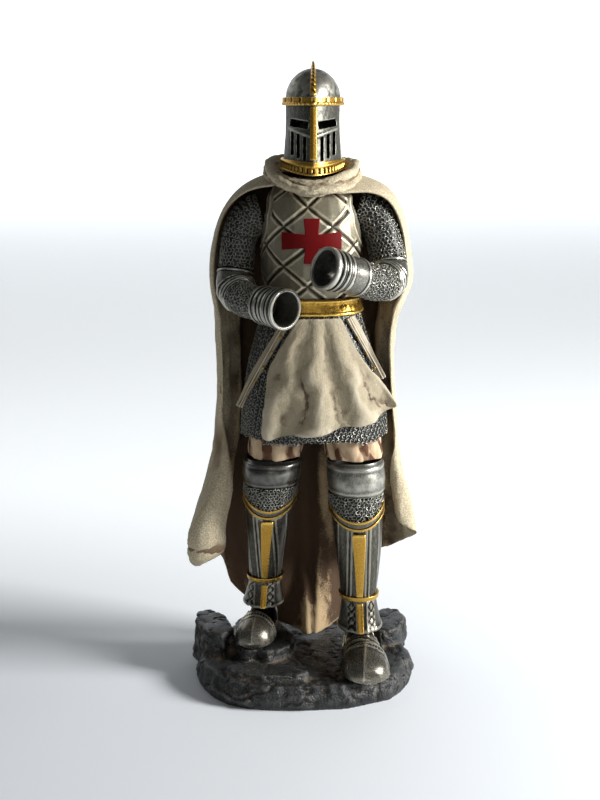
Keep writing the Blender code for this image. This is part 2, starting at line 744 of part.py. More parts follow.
def foot_section(share, heel, toe, sole, half, grow=0.0, whole=True):
    """A cross-section of the foot: flat under the sole and arched above."""
    along = [row[0] for row in FOOT_SECTIONS]
    width = half * float(np.interp(share, along, [row[1] for row in FOOT_SECTIONS])) + grow
    height = float(np.interp(share, along, [row[2] for row in FOOT_SECTIONS])) + grow
    heel, toe = np.array(heel), np.array(toe)
    ahead = (toe - heel) / np.linalg.norm(toe - heel)
    right = np.array((-ahead[1], ahead[0]))
    middle = heel + (toe - heel) * share
    ring = []
    turns = np.linspace(0, 360, FOOT_SIDES, endpoint=False) if whole else np.linspace(6, 174, 9)
    for turn in np.radians(turns):
        across, up = math.cos(turn), math.sin(turn)
        across = math.copysign(abs(across) ** ARCH_POWER, across) * width
        z = sole + height * max(0.0, up) ** ARCH_POWER
        if up <= 0:
            across *= WELT
        ring.append((*(middle + right * across), z))
    return ring


def make_foot(side, plan):
    foot = plan["foot"]
    size = {key: foot[key] for key in ("heel", "toe", "sole", "half")}
    name = f"sabaton_{side}"
    solid = foot_solid(name, size, 0.0)
    hollow = foot_solid(f"{name}_hollow_cutter", size, -1.3)
    sabaton = place(name, solid, STEEL)
    cut(sabaton, place(f"{name}_hollow_cutter", hollow, None, CUTTERS))
    ankle = plan["ankle"]
    shaft = [
        leg_ring(ankle, ankle[0][0], all_round(LIMB_SIDES), -1.2) + np.array((0, 0, dz))
        for dz in (-16.0, 6.0)
    ]
    for row in shaft:
        row[:, 2] = row[:, 2].mean()
    shaft[0][:, 2] = size["sole"] + 3.0
    cut(sabaton, place(f"{name}_mouth_cutter", closed_mesh(name, shaft), None, CUTTERS))

    forward = np.subtract(size["toe"], size["heel"])
    forward = np.array((*(forward / np.linalg.norm(forward)), 0.0))
    rows = []
    for share in TOE_CAP:
        row = np.array(foot_section(share, **size, grow=0.5, whole=False))
        rows.append(row + forward * TOE_CAP_AHEAD * (share - TOE_CAP[0]) / (1.0 - TOE_CAP[0]))
    ahead, left = TOE_CAP_END
    middle = rows[-1].mean(axis=0) * (1.0, 1.0, 0.0) + (0.0, 0.0, size["sole"])
    rows.append(middle + (rows[-1] - middle) * left + forward * ahead)
    wall_piece(f"toe_cap_{side}", rows, 0.8, STEEL, closed=False)


def foot_solid(name, size, grow):
    """A closed foot shape. A negative grow gives the hollow inside it."""
    size = dict(size)
    heel, toe = np.array(size["heel"]), np.array(size["toe"])
    ahead = (toe - heel) / np.linalg.norm(toe - heel)
    size["heel"], size["toe"] = tuple(heel - ahead * grow), tuple(toe + ahead * grow)
    size["sole"] -= grow
    rows = [foot_section(row[0], **size, grow=grow) for row in FOOT_SECTIONS]
    if grow:
        rows = [[(x, y, z + grow * (z > size["sole"] + 0.5)) for x, y, z in row] for row in rows]
    return closed_mesh(name, rows)


# ---------------------------------------------------------------- cloak

# Height at the side, middle x, half width, depth behind and in front, how much of the collar's
# own slope it follows, and how far round from the back middle its right and left edges come.
CLOAK_SECTIONS = (
    (248.8, -0.4, 19.0, 21.4, 21.2, 1.0, 122, 150),
    (247.5, -0.4, 20.8, 22.6, 22.2, 1.0, 121, 146),
    (246.4, -0.6, 25.6, 24.2, 22.4, 0.9, 117, 138),
    (243.6, -0.5, 32.8, 25.2, 20.6, 0.6, 112, 126),
    (237.2, -0.5, 39.6, 25.8, 17.8, 0.2, 105, 116),
    (226.0, -0.6, 44.0, 26.0, 15.6, 0.0, 100, 108),
    (212.0, -0.8, 46.6, 26.6, 14.6, 0.0, 97, 103),
    (197.0, -0.9, 47.4, 27.0, 14.0, 0.0, 96, 100),
    (187.0, -3.1, 42.6, 27.2, 14.0, 0.0, 95, 98),
    (170.0, -3.4, 40.6, 27.6, 14.0, 0.0, 95, 98),
    (156.0, -2.8, 40.8, 27.8, 14.0, 0.0, 95, 98),
    (136.0, -2.4, 42.0, 28.2, 14.0, 0.0, 96, 98),
    (112.0, -3.2, 45.2, 28.8, 14.0, 0.0, 98, 98),
    (96.0, -4.0, 47.6, 29.4, 14.0, 0.0, 100, 98),
    (84.0, -4.4, 51.8, 29.9, 14.0, 0.0, 101, 98),
    (68.0, -5.4, 55.2, 30.4, 14.0, 0.0, 103, 98),
    (56.0, -5.4, 54.0, 30.8, 14.0, 0.0, 103, 98),
    (14.0, -2.0, 50.0, 33.0, 14.0, 0.0, 103, 98),
)
SHOULDER_LEAN = 1.8  # the wearer's left shoulder is higher by this, and the right lower
CLOAK_COLUMNS = (
    [1.0, 0.972, 0.944, 0.916, 0.888, 0.858, 0.828]
    + [0.8 - 1.6 * k / 26 for k in range(27)]
    + [-0.828, -0.858, -0.888, -0.916, -0.944, -0.972, -1.0]
)
CLOAK_LEVELS = (
    (0, 0.012, 0.035, 0.07, 0.11, 0.165, 0.23, 0.31, 0.36)
    + (0.44, 0.52, 0.60, 0.68, 0.75, 0.82, 0.88, 0.93, 0.97, 1.0)
)
CLOAK_FIXED = 9  # the first of these levels are at the first heights of the table
# The cloak's two front edges roll forward and in. Height and radius of the roll on each side.
CURL_START = 0.8
CURL_SWEEP = math.radians(200.0)
CURL_FULL = 3.0  # a roll of this radius or more is a whole one
CURLS = {
    "right": ((56, 5.6), (61, 8.2), (68, 9.8), (78, 9.6), (92, 8.0), (108, 5.5), (122, 3.0), (134, 0.0)),
    "left": ((74, 3.4), (80, 4.6), (87, 4.8), (96, 3.6), (108, 2.4), (120, 0.0)),
}
TRAIN_HEM = STAND_TOP + 1.2
# Height of the hem by the angle from the back: the wearer's right side is minus.
HEM_HEIGHTS = (
    (-106.0, 69.0),
    (-98.0, 61.0),
    (-90.0, 56.0),
    (-82.0, 56.0),
    (-66.0, 56.0),
    (-49.0, 55.0),
    (-43.0, 36.0),
    (-34.0, 23.0),
    (-24.0, TRAIN_HEM),
    (18.0, TRAIN_HEM),
    (29.0, 26.0),
    (38.0, 46.0),
    (47.0, 57.0),
    (62.0, 61.0),
    (80.0, 69.0),
    (90.0, 75.0),
    (100.0, 81.0),
)


def cloak_sheet(column, level):
    """A point of the cloak's inner face before its edges roll, from right, -1, to left, 1."""
    def value(z, k):
        return blend([(row[0], row[k]) for row in CLOAK_SECTIONS], z)

    limit_column = 6 if column < 0 else 7
    hem = blend(HEM_HEIGHTS, column * value(80.0, limit_column))
    fixed = [row[0] for row in CLOAK_SECTIONS[:CLOAK_FIXED]]
    start = CLOAK_LEVELS[CLOAK_FIXED - 1]
    if level <= start:
        z = float(np.interp(level, CLOAK_LEVELS[:CLOAK_FIXED], fixed))
    else:
        z = fixed[-1] + (hem - fixed[-1]) * (level - start) / (1 - start)
    angle = math.radians(column * value(z, limit_column))
    sine, cosine = math.sin(angle), math.cos(angle)
    depth = value(z, 3) if cosine > 0 else value(z, 4)
    loose = min(1.0, max(0.0, (228.0 - z) / 150.0))
    inner = max(0.0, 1.0 - (abs(column) / 0.94) ** 6)
    fold = 3.4 * loose * inner * math.cos(angle * 9.0 + 0.5 * math.sin(3 * angle) + 0.4)
    fold += 1.4 * loose * inner * math.cos(angle * 17.0 + 1.2)
    x = value(z, 1) + (value(z, 2) + 0.7 * fold) * sine
    y = (depth + fold) * cosine + 0.6
    # The train is drawn forward between the feet.
    low = min(1.0, max(0.0, (52.0 - z) / 36.0))
    y -= 27.0 * low**1.3 * math.exp(-(((x + 1.5) / 9.5) ** 2))
    slope = float(cowl_height(-cosine)) - COWL_SIDE
    lean = SHOULDER_LEAN * sine * max(0.0, 1.0 - abs(z - 238.0) / 9.0)
    return np.array((x, y, z + value(z, 5) * slope + lean))


def cloak_point(column, level):
    """A point of the cloak's inner face, with its front edge rolled forward and in."""
    flat = cloak_sheet(column, level)
    if abs(column) <= CURL_START:
        return flat
    side = math.copysign(1.0, column)
    root = cloak_sheet(side * CURL_START, level)
    radius = blend(CURLS["left" if side > 0 else "right"], flat[2])
    if radius <= 0.0:
        return flat
    ahead = root - cloak_sheet(side * (CURL_START - 0.02), level)
    ahead[2] = 0.0
    ahead /= np.linalg.norm(ahead)
    inward = np.array((side * ahead[1], -side * ahead[0], 0.0))
    turn = CURL_SWEEP * (abs(column) - CURL_START) / (1.0 - CURL_START)
    rolled = root + radius * (inward * (1.0 - math.cos(turn)) + ahead * math.sin(turn))
    rolled[2] = flat[2]
    share = min(1.0, radius / CURL_FULL)
    return flat * (1.0 - share) + rolled * share


def make_cloak():
    rows = [[cloak_point(c, level) for c in CLOAK_COLUMNS] for level in CLOAK_LEVELS[::-1]]
    wall_piece("cloak", rows, CLOTH_WALL, CLOAK, closed=False)


COWL_SIDE = 251.8
COWL_DIP = 8.4  # how far the collar hangs in front of the throat


def cowl_height(ahead):
    """The middle of the collar's roll; ahead is 1 at the front and -1 behind."""
    dip = COWL_DIP * np.maximum(0.0, ahead) ** 1.25
    return COWL_SIDE - dip + 2.0 * np.maximum(0.0, -ahead)


def make_cowl():
    """The cloak's rolled collar: an arch of cloth, open below, all round the neck."""
    angles = all_round(24)
    profile = ((-1.9, -3.4), (-1.9, 0.2), (-1.0, 2.4), (0.4, 3.2), (2.0, 2.2), (3.0, 0.0), (3.3, -2.6))
    height = cowl_height(np.cos(np.radians(angles)))
    rows = []
    for out, up in profile:
        ring = oval(0.0, 19.1 + out, 22.0 + out, 21.6 + out, angles, (-0.4, 0.0))
        ring[:, 2] = height + up
        rows.append(ring)
    wall_piece("cloak_cowl", rows[::-1], 1.1, CLOAK)


# ---------------------------------------------------------------- stand

# Middle x and y, half length, half width, underside, top, turn and number of sides of each rock.
ROCKS = (
    (-4.0, -3.0, 55.0, 45.5, 0.0, STAND_TOP, 4.0, 26),
    (-26.5, 4.0, 17.0, 25.5, 3.0, STEP_TOP, 12.0, 9),
    (-50.5, 4.0, 9.6, 19.0, 3.6, 24.5, 20.0, 7),
    (39.5, 16.0, 9.8, 18.0, 4.2, 20.5, -14.0, 7),
    (-22.0, -33.0, 22.0, 8.5, 5.0, 15.0, -12.0, 7),
)
ROCK_POWER = 2.5  # over 2 makes a slab squarer than an ellipse
ROCK_WAIST = 0.4  # a slab is widest this far up its side


def rock(name, x, y, long, wide, foot, top, turn, sides, seed):
    """One slab with uneven corners and a flat top and underside."""
    swing = 0.05 if sides < 20 else 0.018  # a many-sided slab is rounder
    uneven = np.random.default_rng(seed).uniform(1.0 - swing, 1.0 + swing, sides)[:, None]
    middle = np.array((x, y))
    rows = []
    for share, spread in ((0.0, 0.97), (ROCK_WAIST, 1.0), (1.0, 0.93)):
        ring = oval(
            foot + (top - foot) * share, long, wide, wide, all_round(sides), middle, turn, ROCK_POWER
        )
        ring[:, :2] = middle + (ring[:, :2] - middle) * uneven * spread
        rows.append(ring)
    return closed_mesh(name, rows)


def make_stand():
    """The rock under the feet: one broad slab with ledges and boulders joined to it."""
    main = place("rock_stand", rock("rock_stand", *ROCKS[0], 1), ROCK)
    for k, plan in enumerate(ROCKS[1:]):
        name = f"boulder_{k}_joined"
        boulder = place(name, rock(name, *plan, 7 + k), None, CUTTERS)
        boulder.hide_render = True
        boulder.display_type = "WIRE"
        tool = main.modifiers.new("join", "BOOLEAN")
        tool.operation = "UNION"
        tool.object = boulder


# ---------------------------------------------------------------- build

make_helm()
clearances = [make_arm("right", RIGHT_ARM), make_arm("left", LEFT_ARM)]
make_coat(clearances)
make_skirt()
for leg_side in LEGS:
    make_leg(leg_side)
make_cloak()
make_cowl()
make_stand()
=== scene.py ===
import math

import bpy
import numpy as np
from mathutils import Matrix, Vector, noise
from mathutils.bvhtree import BVHTree


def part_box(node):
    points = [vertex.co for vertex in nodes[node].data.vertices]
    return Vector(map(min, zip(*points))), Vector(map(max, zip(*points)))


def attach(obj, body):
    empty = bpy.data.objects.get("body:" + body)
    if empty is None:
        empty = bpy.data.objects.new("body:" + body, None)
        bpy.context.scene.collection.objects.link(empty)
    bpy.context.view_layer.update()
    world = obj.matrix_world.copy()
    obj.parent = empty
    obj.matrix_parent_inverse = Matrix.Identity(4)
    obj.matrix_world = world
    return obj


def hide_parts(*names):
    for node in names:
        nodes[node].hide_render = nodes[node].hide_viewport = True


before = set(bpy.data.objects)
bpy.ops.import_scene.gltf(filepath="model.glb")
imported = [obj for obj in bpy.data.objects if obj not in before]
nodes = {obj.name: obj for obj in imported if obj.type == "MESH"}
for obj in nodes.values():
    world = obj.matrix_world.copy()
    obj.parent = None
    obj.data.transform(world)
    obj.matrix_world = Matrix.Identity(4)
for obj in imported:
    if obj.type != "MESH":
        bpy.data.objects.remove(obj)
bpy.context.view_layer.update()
MM = 0.001

# ----------------------------------------------------------------------------------------------
# Paints. Every finish is built from shader nodes: clouds of noise, and marks that the mesh
# carries, such as how deep a hollow is.
# ----------------------------------------------------------------------------------------------


class Wire:
    """One socket of a paint's nodes, with the arithmetic that its masks need."""

    def __init__(self, paint, socket):
        self.paint = paint
        self.socket = socket

    def math(self, operation, first, second):
        return self.paint.add("ShaderNodeMath", {"operation": operation}, {0: first, 1: second})

    def __add__(self, other):
        return self.math("ADD", self, other)

    def __sub__(self, other):
        return self.math("SUBTRACT", self, other)

    def __rsub__(self, other):
        return self.math("SUBTRACT", other, self)

    def __mul__(self, other):
        return self.math("MULTIPLY", self, other)

    __radd__ = __add__
    __rmul__ = __mul__


class Paint:
    """One painted finish: its material, and the nodes that vary it over a surface."""

    def __init__(self, name, roughness=0.5, metallic=0.0, coat=0.0):
        self.material = bpy.data.materials.new(name)
        self.material.use_nodes = True
        self.tree = self.material.node_tree
        self.shader = self.tree.nodes["Principled BSDF"]
        self.shader.inputs["Roughness"].default_value = roughness
        self.shader.inputs["Metallic"].default_value = metallic
        self.shader.inputs["Coat Weight"].default_value = coat
        self.shader.inputs["Coat Roughness"].default_value = 0.12
        self.place = self.add("ShaderNodeTexCoord", {}, {}, "Object")

    def add(self, kind, settings, values, output=0):
        """A node of one kind: its settings first, then its sockets' values or links."""
        node = self.tree.nodes.new(kind)
        for key, value in settings.items():
            setattr(node, key, value)
        for key, value in values.items():
            if isinstance(value, Wire):
                self.tree.links.new(value.socket, node.inputs[key])
            else:
                node.inputs[key].default_value = value
        return Wire(self, node.outputs[output])

    def noise(self, size, detail=4.0, stretch=(1.0, 1.0, 1.0)):
        """Cloudy noise with lumps of about size millimetres, drawn out by stretch."""
        spot = self.add(
            "ShaderNodeVectorMath", {"operation": "MULTIPLY"}, {0: self.place, 1: stretch}
        )
        return self.add(
            "ShaderNodeTexNoise", {}, {"Vector": spot, "Scale": 1.0 / (size * MM), "Detail": detail}
        )

    def mark(self, name):
        """A number that the mesh carries for its paint, such as how deep a hollow is."""
        return self.add("ShaderNodeAttribute", {"attribute_name": name}, {}, "Fac")

    def ramp(self, value, low, high):
        """0 at low and 1 at high, with a soft rise between."""
        return self.add(
            "ShaderNodeMapRange",
            {"interpolation_type": "SMOOTHSTEP"},
            {"Value": value, "From Min": low, "From Max": high},
        )

    def mix(self, share, one, other):
        """One colour where share is 0, and the other where it is 1."""
        values = {0: share, 6: one, 7: other}
        for key in (6, 7):
            if not isinstance(values[key], Wire):
                values[key] = (*values[key], 1.0)
        return self.add("ShaderNodeMix", {"data_type": "RGBA"}, values, 2)

    def finish(self, colour, roughness=None, relief=None, depth=0.1):
        """Joins colour, gloss and fine relief to the shader. Depth is in millimetres."""
        links = {"Base Color": colour, "Roughness": roughness}
        if relief is not None:
            links["Normal"] = self.add(
                "ShaderNodeBump", {}, {"Height": relief, "Distance": depth * MM}
            )
        for name, wire in links.items():
            if wire is not None:
                self.tree.links.new(wire.socket, self.shader.inputs[name])
        return self.material


# ----------------------------------------------------------------------------------------------
# Table, daylight and camera. A plain pale table and backdrop under soft studio light: a strong
# key from the wearer's left, a weak fill in front, and a faint rim from behind on the other side.
# ----------------------------------------------------------------------------------------------
bpy.ops.object.select_all(action="DESELECT")
bpy.ops.mesh.primitive_plane_add(size=14.0)
table = bpy.context.active_object
table.name = "pale_table"
bpy.ops.object.mode_set(mode="EDIT")
bpy.ops.mesh.subdivide(number_cuts=3)
bpy.ops.object.mode_set(mode="OBJECT")
table_paint = Paint("pale_table", roughness=0.9)
table_cloud = table_paint.noise(400.0)
table.data.materials.append(
    table_paint.finish(table_paint.mix(table_cloud, (0.86, 0.90, 0.94), (0.90, 0.93, 0.96)))
)
# The table glows only behind the suit, so that its front is lit by the lamps alone.
table_depth = table_paint.add("ShaderNodeSeparateXYZ", {}, {0: table_paint.place}, 1)
table_glow = table_paint.mix(
    table_paint.ramp(table_depth, -0.05, 0.35), (0.0, 0.0, 0.0), (0.96, 0.985, 1.0)
)
table_paint.tree.links.new(table_glow.socket, table_paint.shader.inputs["Emission Color"])
table_paint.shader.inputs["Emission Strength"].default_value = 0.5

bpy.ops.mesh.primitive_plane_add(
    size=4.4, location=(0.0, 3.0, 0.0), rotation=(math.radians(90.0), 0.0, 0.0)
)
screen = bpy.context.active_object
screen.name = "pale_screen"
bpy.ops.object.transform_apply(location=True, rotation=True, scale=True)
screen_paint = Paint("pale_screen", roughness=0.9)
screen_cloud = screen_paint.noise(900.0)
screen.data.materials.append(
    screen_paint.finish(screen_paint.mix(screen_cloud, (0.86, 0.9, 0.94), (0.88, 0.92, 0.96)))
)
screen_paint.shader.inputs["Emission Color"].default_value = (0.95, 0.98, 1.0, 1.0)
screen_paint.shader.inputs["Emission Strength"].default_value = 0.9

room = bpy.data.worlds.new("pale_room")
bpy.context.scene.world = room
room.use_nodes = True
room.node_tree.nodes["Background"].inputs["Color"].default_value = (0.94, 0.97, 1.0, 1.0)
room.node_tree.nodes["Background"].inputs["Strength"].default_value = 0.09
bpy.context.scene.view_settings.view_transform = "Standard"

# Name, place, width and power of each lamp. All of them face the middle of the suit.
LAMP_AIM = Vector((0.0, 0.0, 0.17))
LAMPS = (
    ("key_window", (0.80, -0.20, 0.42), 0.26, 13.0),
    ("front_fill", (-0.05, -0.95, 0.40), 0.50, 0.55),
    ("back_rim", (-0.50, 0.40, 0.45), 0.30, 0.3),
)
for lamp_name, spot, width, watts in LAMPS:
    bpy.ops.object.light_add(type="AREA", location=spot)
    lamp = bpy.context.active_object
    lamp.name = lamp_name
    lamp.data.size = width
    lamp.data.energy = watts
    lamp.rotation_euler = (LAMP_AIM - Vector(spot)).to_track_quat("-Z", "Y").to_euler()

CAMERA_DIP = 13.15  # degrees below level
bpy.ops.object.camera_add(
    location=(-0.006, -0.6, 0.281), rotation=(math.radians(90.0 - CAMERA_DIP), 0.0, 0.0)
)
camera = bpy.context.active_object
camera.data.sensor_width = 36.0
camera.data.sensor_fit = "AUTO"
camera.data.lens = 56.97
camera.data.clip_start = 0.01
bpy.context.scene.camera = camera

# ----------------------------------------------------------------------------------------------
# Casts. Each piece starts as a finer cast of its frame node, and its points are moved along
# their normals to raise what the solid leaves flat.
# ----------------------------------------------------------------------------------------------


CREASED_FROM = 40.0  # an edge sharper than this many degrees can keep its corner


def cast_copy(node, name, material, levels, crease=0.0, voxel=0.0, polish=0):
    """A finer cast of a frame node, with its triangles joined into quads and rounded off.

    Its sharp edges keep as much of their corner as crease says. With a voxel size in
    millimetres the cast is remeshed instead, and smoothed polish times.
    """
    bpy.ops.object.select_all(action="DESELECT")
    piece = nodes[node].copy()
    piece.data = nodes[node].data.copy()
    piece.name = name
    for key in list(piece.keys()):
        del piece[key]
    bpy.context.scene.collection.objects.link(piece)
    piece.select_set(True)
    bpy.context.view_layer.objects.active = piece
    bpy.ops.mesh.customdata_custom_splitnormals_clear()
    bpy.ops.object.mode_set(mode="EDIT")
    bpy.ops.mesh.select_all(action="SELECT")
    bpy.ops.mesh.remove_doubles(threshold=0.001 * MM)
    bpy.ops.mesh.tris_convert_to_quads(
        face_threshold=math.radians(50.0), shape_threshold=math.radians(70.0)
    )
    if crease:
        bpy.ops.mesh.select_all(action="DESELECT")
        bpy.ops.mesh.select_mode(type="EDGE")
        bpy.ops.mesh.edges_select_sharp(sharpness=math.radians(CREASED_FROM))
        bpy.ops.transform.edge_crease(value=crease)
    bpy.ops.object.mode_set(mode="OBJECT")
    if levels:
        rounding = piece.modifiers.new("rounding", "SUBSURF")
        rounding.levels = levels
        rounding.render_levels = levels
        bpy.ops.object.modifier_apply(modifier="rounding")
    if voxel:
        piece.data.remesh_voxel_size = voxel * MM
        bpy.ops.object.voxel_remesh()
    if polish:
        smooth = piece.modifiers.new("polish", "SMOOTH")
        smooth.iterations = polish
        smooth.factor = 0.5
        bpy.ops.object.modifier_apply(modifier="polish")
    piece.data.materials.clear()
    piece.data.materials.append(material)
    bpy.ops.object.shade_smooth()
    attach(piece, "root")
    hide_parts(node)
    return piece


def points_of(piece, layer="co"):
    """A mesh's points, or its normals at them, as rows of three numbers."""
    values = np.empty(len(piece.data.vertices) * 3)
    piece.data.vertices.foreach_get(layer, values)
    return values.reshape(-1, 3)


def move_points(piece, points):
    piece.data.vertices.foreach_set("co", points.ravel())
    piece.data.update()


def push_out(piece, heights):
    """Moves each point along its normal by a height in millimetres."""
    normals = points_of(piece, "normal")
    move_points(piece, points_of(piece) + normals * np.asarray(heights)[:, None] * MM)


def blurred(piece, values, passes):
    """Values at a mesh's points, each averaged with its neighbours so many times."""
    edges = np.empty(len(piece.data.edges) * 2, int)
    piece.data.edges.foreach_get("vertices", edges)
    first, second = edges.reshape(-1, 2).T
    links = np.bincount(first, minlength=len(values)) + np.bincount(second, minlength=len(values))
    links = np.maximum(links, 1)
    if values.ndim == 2:
        return np.stack([blurred(piece, column, passes) for column in values.T], axis=1)
    for _ in range(passes):
        total = np.bincount(first, values[second], len(values))
        total += np.bincount(second, values[first], len(values))
        values = 0.5 * values + 0.5 * total / links
    return values


def mark_hollows(piece, passes, depth):
    """Marks each point with how far it lies under the blurred surface; depth millimetres is 1."""
    points = points_of(piece)
    low = ((blurred(piece, points, passes) - points) * points_of(piece, "normal")).sum(axis=1)
    mark = piece.data.attributes.new("hollow", "FLOAT", "POINT")
    mark.data.foreach_set("value", np.clip(low / (depth * MM), -1.0, 1.0).astype(np.float32))


def lumps(points, size, seed, octaves=3):
    """Smooth seeded noise of about -1 to 1 at each point, with lumps of size millimetres."""
    shift = Vector((seed * 3.7, seed * 1.3, seed * 2.1))
    scale = 1.0 / (size * MM)
    spots = (Vector(point) * scale + shift for point in points)
    return np.array([noise.fractal(spot, 1.0, 2.0, octaves) for spot in spots])


def washed_and_shaded(
    name, deep, body, high, roughness, metallic=0.0, grain=0.5, streak=(1, 1, 1),
    brushing=0.4, stain=0.5, relief=0.05, edge=0.85, coat=0.0,
):
    """Paint that is dry-brushed on what stands up, and darkened in the hollows by a brown wash
    together with painted shade.
    """
    paint = Paint(name, roughness, metallic, coat)
    hollow = paint.mark("hollow")
    fine = paint.noise(grain, 5.0, streak)
    cloud = paint.noise(grain * 14.0, 3.0)
    colour = paint.mix(paint.ramp(fine, 0.42, 0.75) * brushing, body, high)
    proud = paint.ramp(hollow * -1.0 + (fine - 0.5) * 0.4, 0.10, 0.6)
    colour = paint.mix(proud * edge, colour, high)
    # Painted shade and brown wash: the hollows take the deep colour, with stains from the noise
    # mixed in.
    low = paint.ramp(hollow + (cloud - 0.5) * stain + (fine - 0.5) * 0.35, 0.06, 0.5)
    colour = paint.mix(low, colour, deep)
    gloss = (fine - 0.5) * 0.3 + roughness
    return paint.finish(colour, roughness=gloss, relief=fine + cloud, depth=relief)


# ----------------------------------------------------------------------------------------------
# Rock stand. A heap of broken dark stone, cast in one piece with a flat underside. It is painted
# near-black, dry-brushed grey on its edges, and dusted with brown grit in its hollows.
# ----------------------------------------------------------------------------------------------
ROCK_PAINT = Paint("dark_rock", roughness=0.75)
rock_hollow = ROCK_PAINT.mark("hollow")
rock_fine = ROCK_PAINT.noise(0.9, 6.0)
rock_cloud = ROCK_PAINT.noise(11.0, 3.0)
rock_colour = ROCK_PAINT.mix(
    ROCK_PAINT.ramp(rock_fine, 0.35, 0.75), (0.010, 0.011, 0.011), (0.036, 0.037, 0.036)
)
rock_proud = ROCK_PAINT.ramp(rock_hollow * -1.0 + (rock_fine - 0.5) * 0.9, 0.2, 0.9)
rock_colour = ROCK_PAINT.mix(rock_proud * 0.5, rock_colour, (0.13, 0.125, 0.11))
rock_grit = ROCK_PAINT.ramp(
    rock_hollow + (rock_cloud - 0.5) * 1.2 + (rock_fine - 0.5) * 1.6, 0.25, 0.8
)
rock_colour = ROCK_PAINT.mix(rock_grit * 0.75, rock_colour, (0.13, 0.095, 0.06))
ROCK_PAINT.finish(
    rock_colour, roughness=rock_cloud * 0.5 + 0.22, relief=rock_fine + rock_cloud, depth=0.5
)

stone = cast_copy(
    "rock_stand", "rock_stand_cast", ROCK_PAINT.material,
    levels=0, voxel=1.05, polish=9,
)
stone_points = points_of(stone)
stone_normals = points_of(stone, "normal")
# Flat chips of about 8 mm, rounded lumps and thin cracks. The tops that carry the feet stay low.
CHIPS_TO_A_METRE = 130.0
CHIP_SHIFT = Vector((7.0, 3.0, 1.0))
chips = np.array(
    [noise.cell_vector(Vector(p) * CHIPS_TO_A_METRE + CHIP_SHIFT)[0] for p in stone_points]
)
cracks = np.abs(lumps(stone_points * np.array((1.0, 1.0, 0.8)), 9.0, 5, 2))
lift = -1.1 * blurred(stone, chips, 2) + 1.0 * lumps(stone_points, 8.0, 3) + 0.5
lift -= 1.6 * np.exp(-((cracks / 0.07) ** 2))
level_top = np.clip((stone_normals[:, 2] - 0.5) * 4.0, 0.0, 1.0)
lift = np.where(lift > 0.0, lift * (1.0 - level_top), lift * (1.0 - 0.45 * level_top))
above = np.clip((stone_points[:, 2] / MM - 0.6) / 2.5, 0.0, 1.0)
push_out(stone, lift * above)
stone_points = points_of(stone)
stone_points[:, 2] = np.where(stone_points[:, 2] < 0.7 * MM, 0.0, stone_points[:, 2])
move_points(stone, stone_points)
mark_hollows(stone, 10, 0.7)

# ----------------------------------------------------------------------------------------------
# Sabatons. Gunmetal plate shoes with overlapping lames across the instep, a riveted band before
# the toe and a rounded toe cap. The metal is warm where the brown wash has stayed, and its hollows
# carry painted shade.
# ----------------------------------------------------------------------------------------------
GUNMETAL = washed_and_shaded(
    "sabaton_gunmetal", (0.010, 0.008, 0.006), (0.10, 0.092, 0.072), (0.46, 0.42, 0.33),
    roughness=0.33, metallic=0.8, streak=(1.0, 0.35, 1.0), stain=0.7,
)
TOE_STEEL = washed_and_shaded(
    "toe_cap_steel", (0.012, 0.010, 0.008), (0.17, 0.155, 0.125), (0.56, 0.52, 0.42),
    roughness=0.30, metallic=0.85, streak=(1.0, 0.35, 1.0), stain=0.6,
)
LAME_PITCH = 2.9
RIVET_PITCH = 1.35
FEET = (("left", (26.0, 0.0), (22.0, -44.0)), ("right", (-23.0, 8.0), (-30.0, -36.0)))
for side, heel, toe in FEET:
    along = (Vector(toe) - Vector(heel)).normalized()
    for node, material in ((f"sabaton_{side}", GUNMETAL), (f"toe_cap_{side}", TOE_STEEL)):
        shoe = cast_copy(node, f"{node}_plates", material, levels=3, crease=0.6)
        lo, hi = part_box(node)
        points, normals = points_of(shoe), points_of(shoe, "normal")
        flat = points[:, :2] / MM - np.array(heel)
        run = flat @ np.array(along)
        aside = flat @ np.array((-along.y, along.x))
        share = (run - run.min()) / (run.max() - run.min())
        upward = np.clip((normals[:, 2] + 0.3) * 2.0, 0.0, 1.0)
        if node.startswith("sabaton"):
            step = (run / LAME_PITCH) % 1.0
            plates = np.where((share > 0.15) & (share < 0.7), 0.55 * (1.0 - step) ** 0.8, 0.1)
            rivets = np.clip(np.cos(2.0 * math.pi * aside / RIVET_PITCH), 0.0, 1.0) ** 2
            rivets *= np.exp(-(((step - 0.22) * LAME_PITCH / 0.4) ** 2))
            rivets *= (share > 0.4) * (share < 0.7)
            plates = plates + 0.45 * rivets
        else:
            middle = (aside.max() + aside.min()) / 2.0
            keel = np.exp(-np.abs(aside - middle) / 2.6)
            rim = np.exp(-(((share - 0.05) / 0.05) ** 2)) + np.exp(-(((share - 0.22) / 0.035) ** 2))
            beads = np.clip(np.cos(2.0 * math.pi * aside / RIVET_PITCH), 0.0, 1.0) ** 2
            beads *= np.exp(-(((share - 0.135) / 0.03) ** 2))
            plates = 0.9 * keel + 0.35 * rim + 0.35 * beads
        clear = np.clip((points[:, 2] - lo.z) / (2.0 * MM) - 0.2, 0.0, 1.0)
        push_out(shoe, plates * upward * clear)
        mark_hollows(shoe, 5, 0.14)

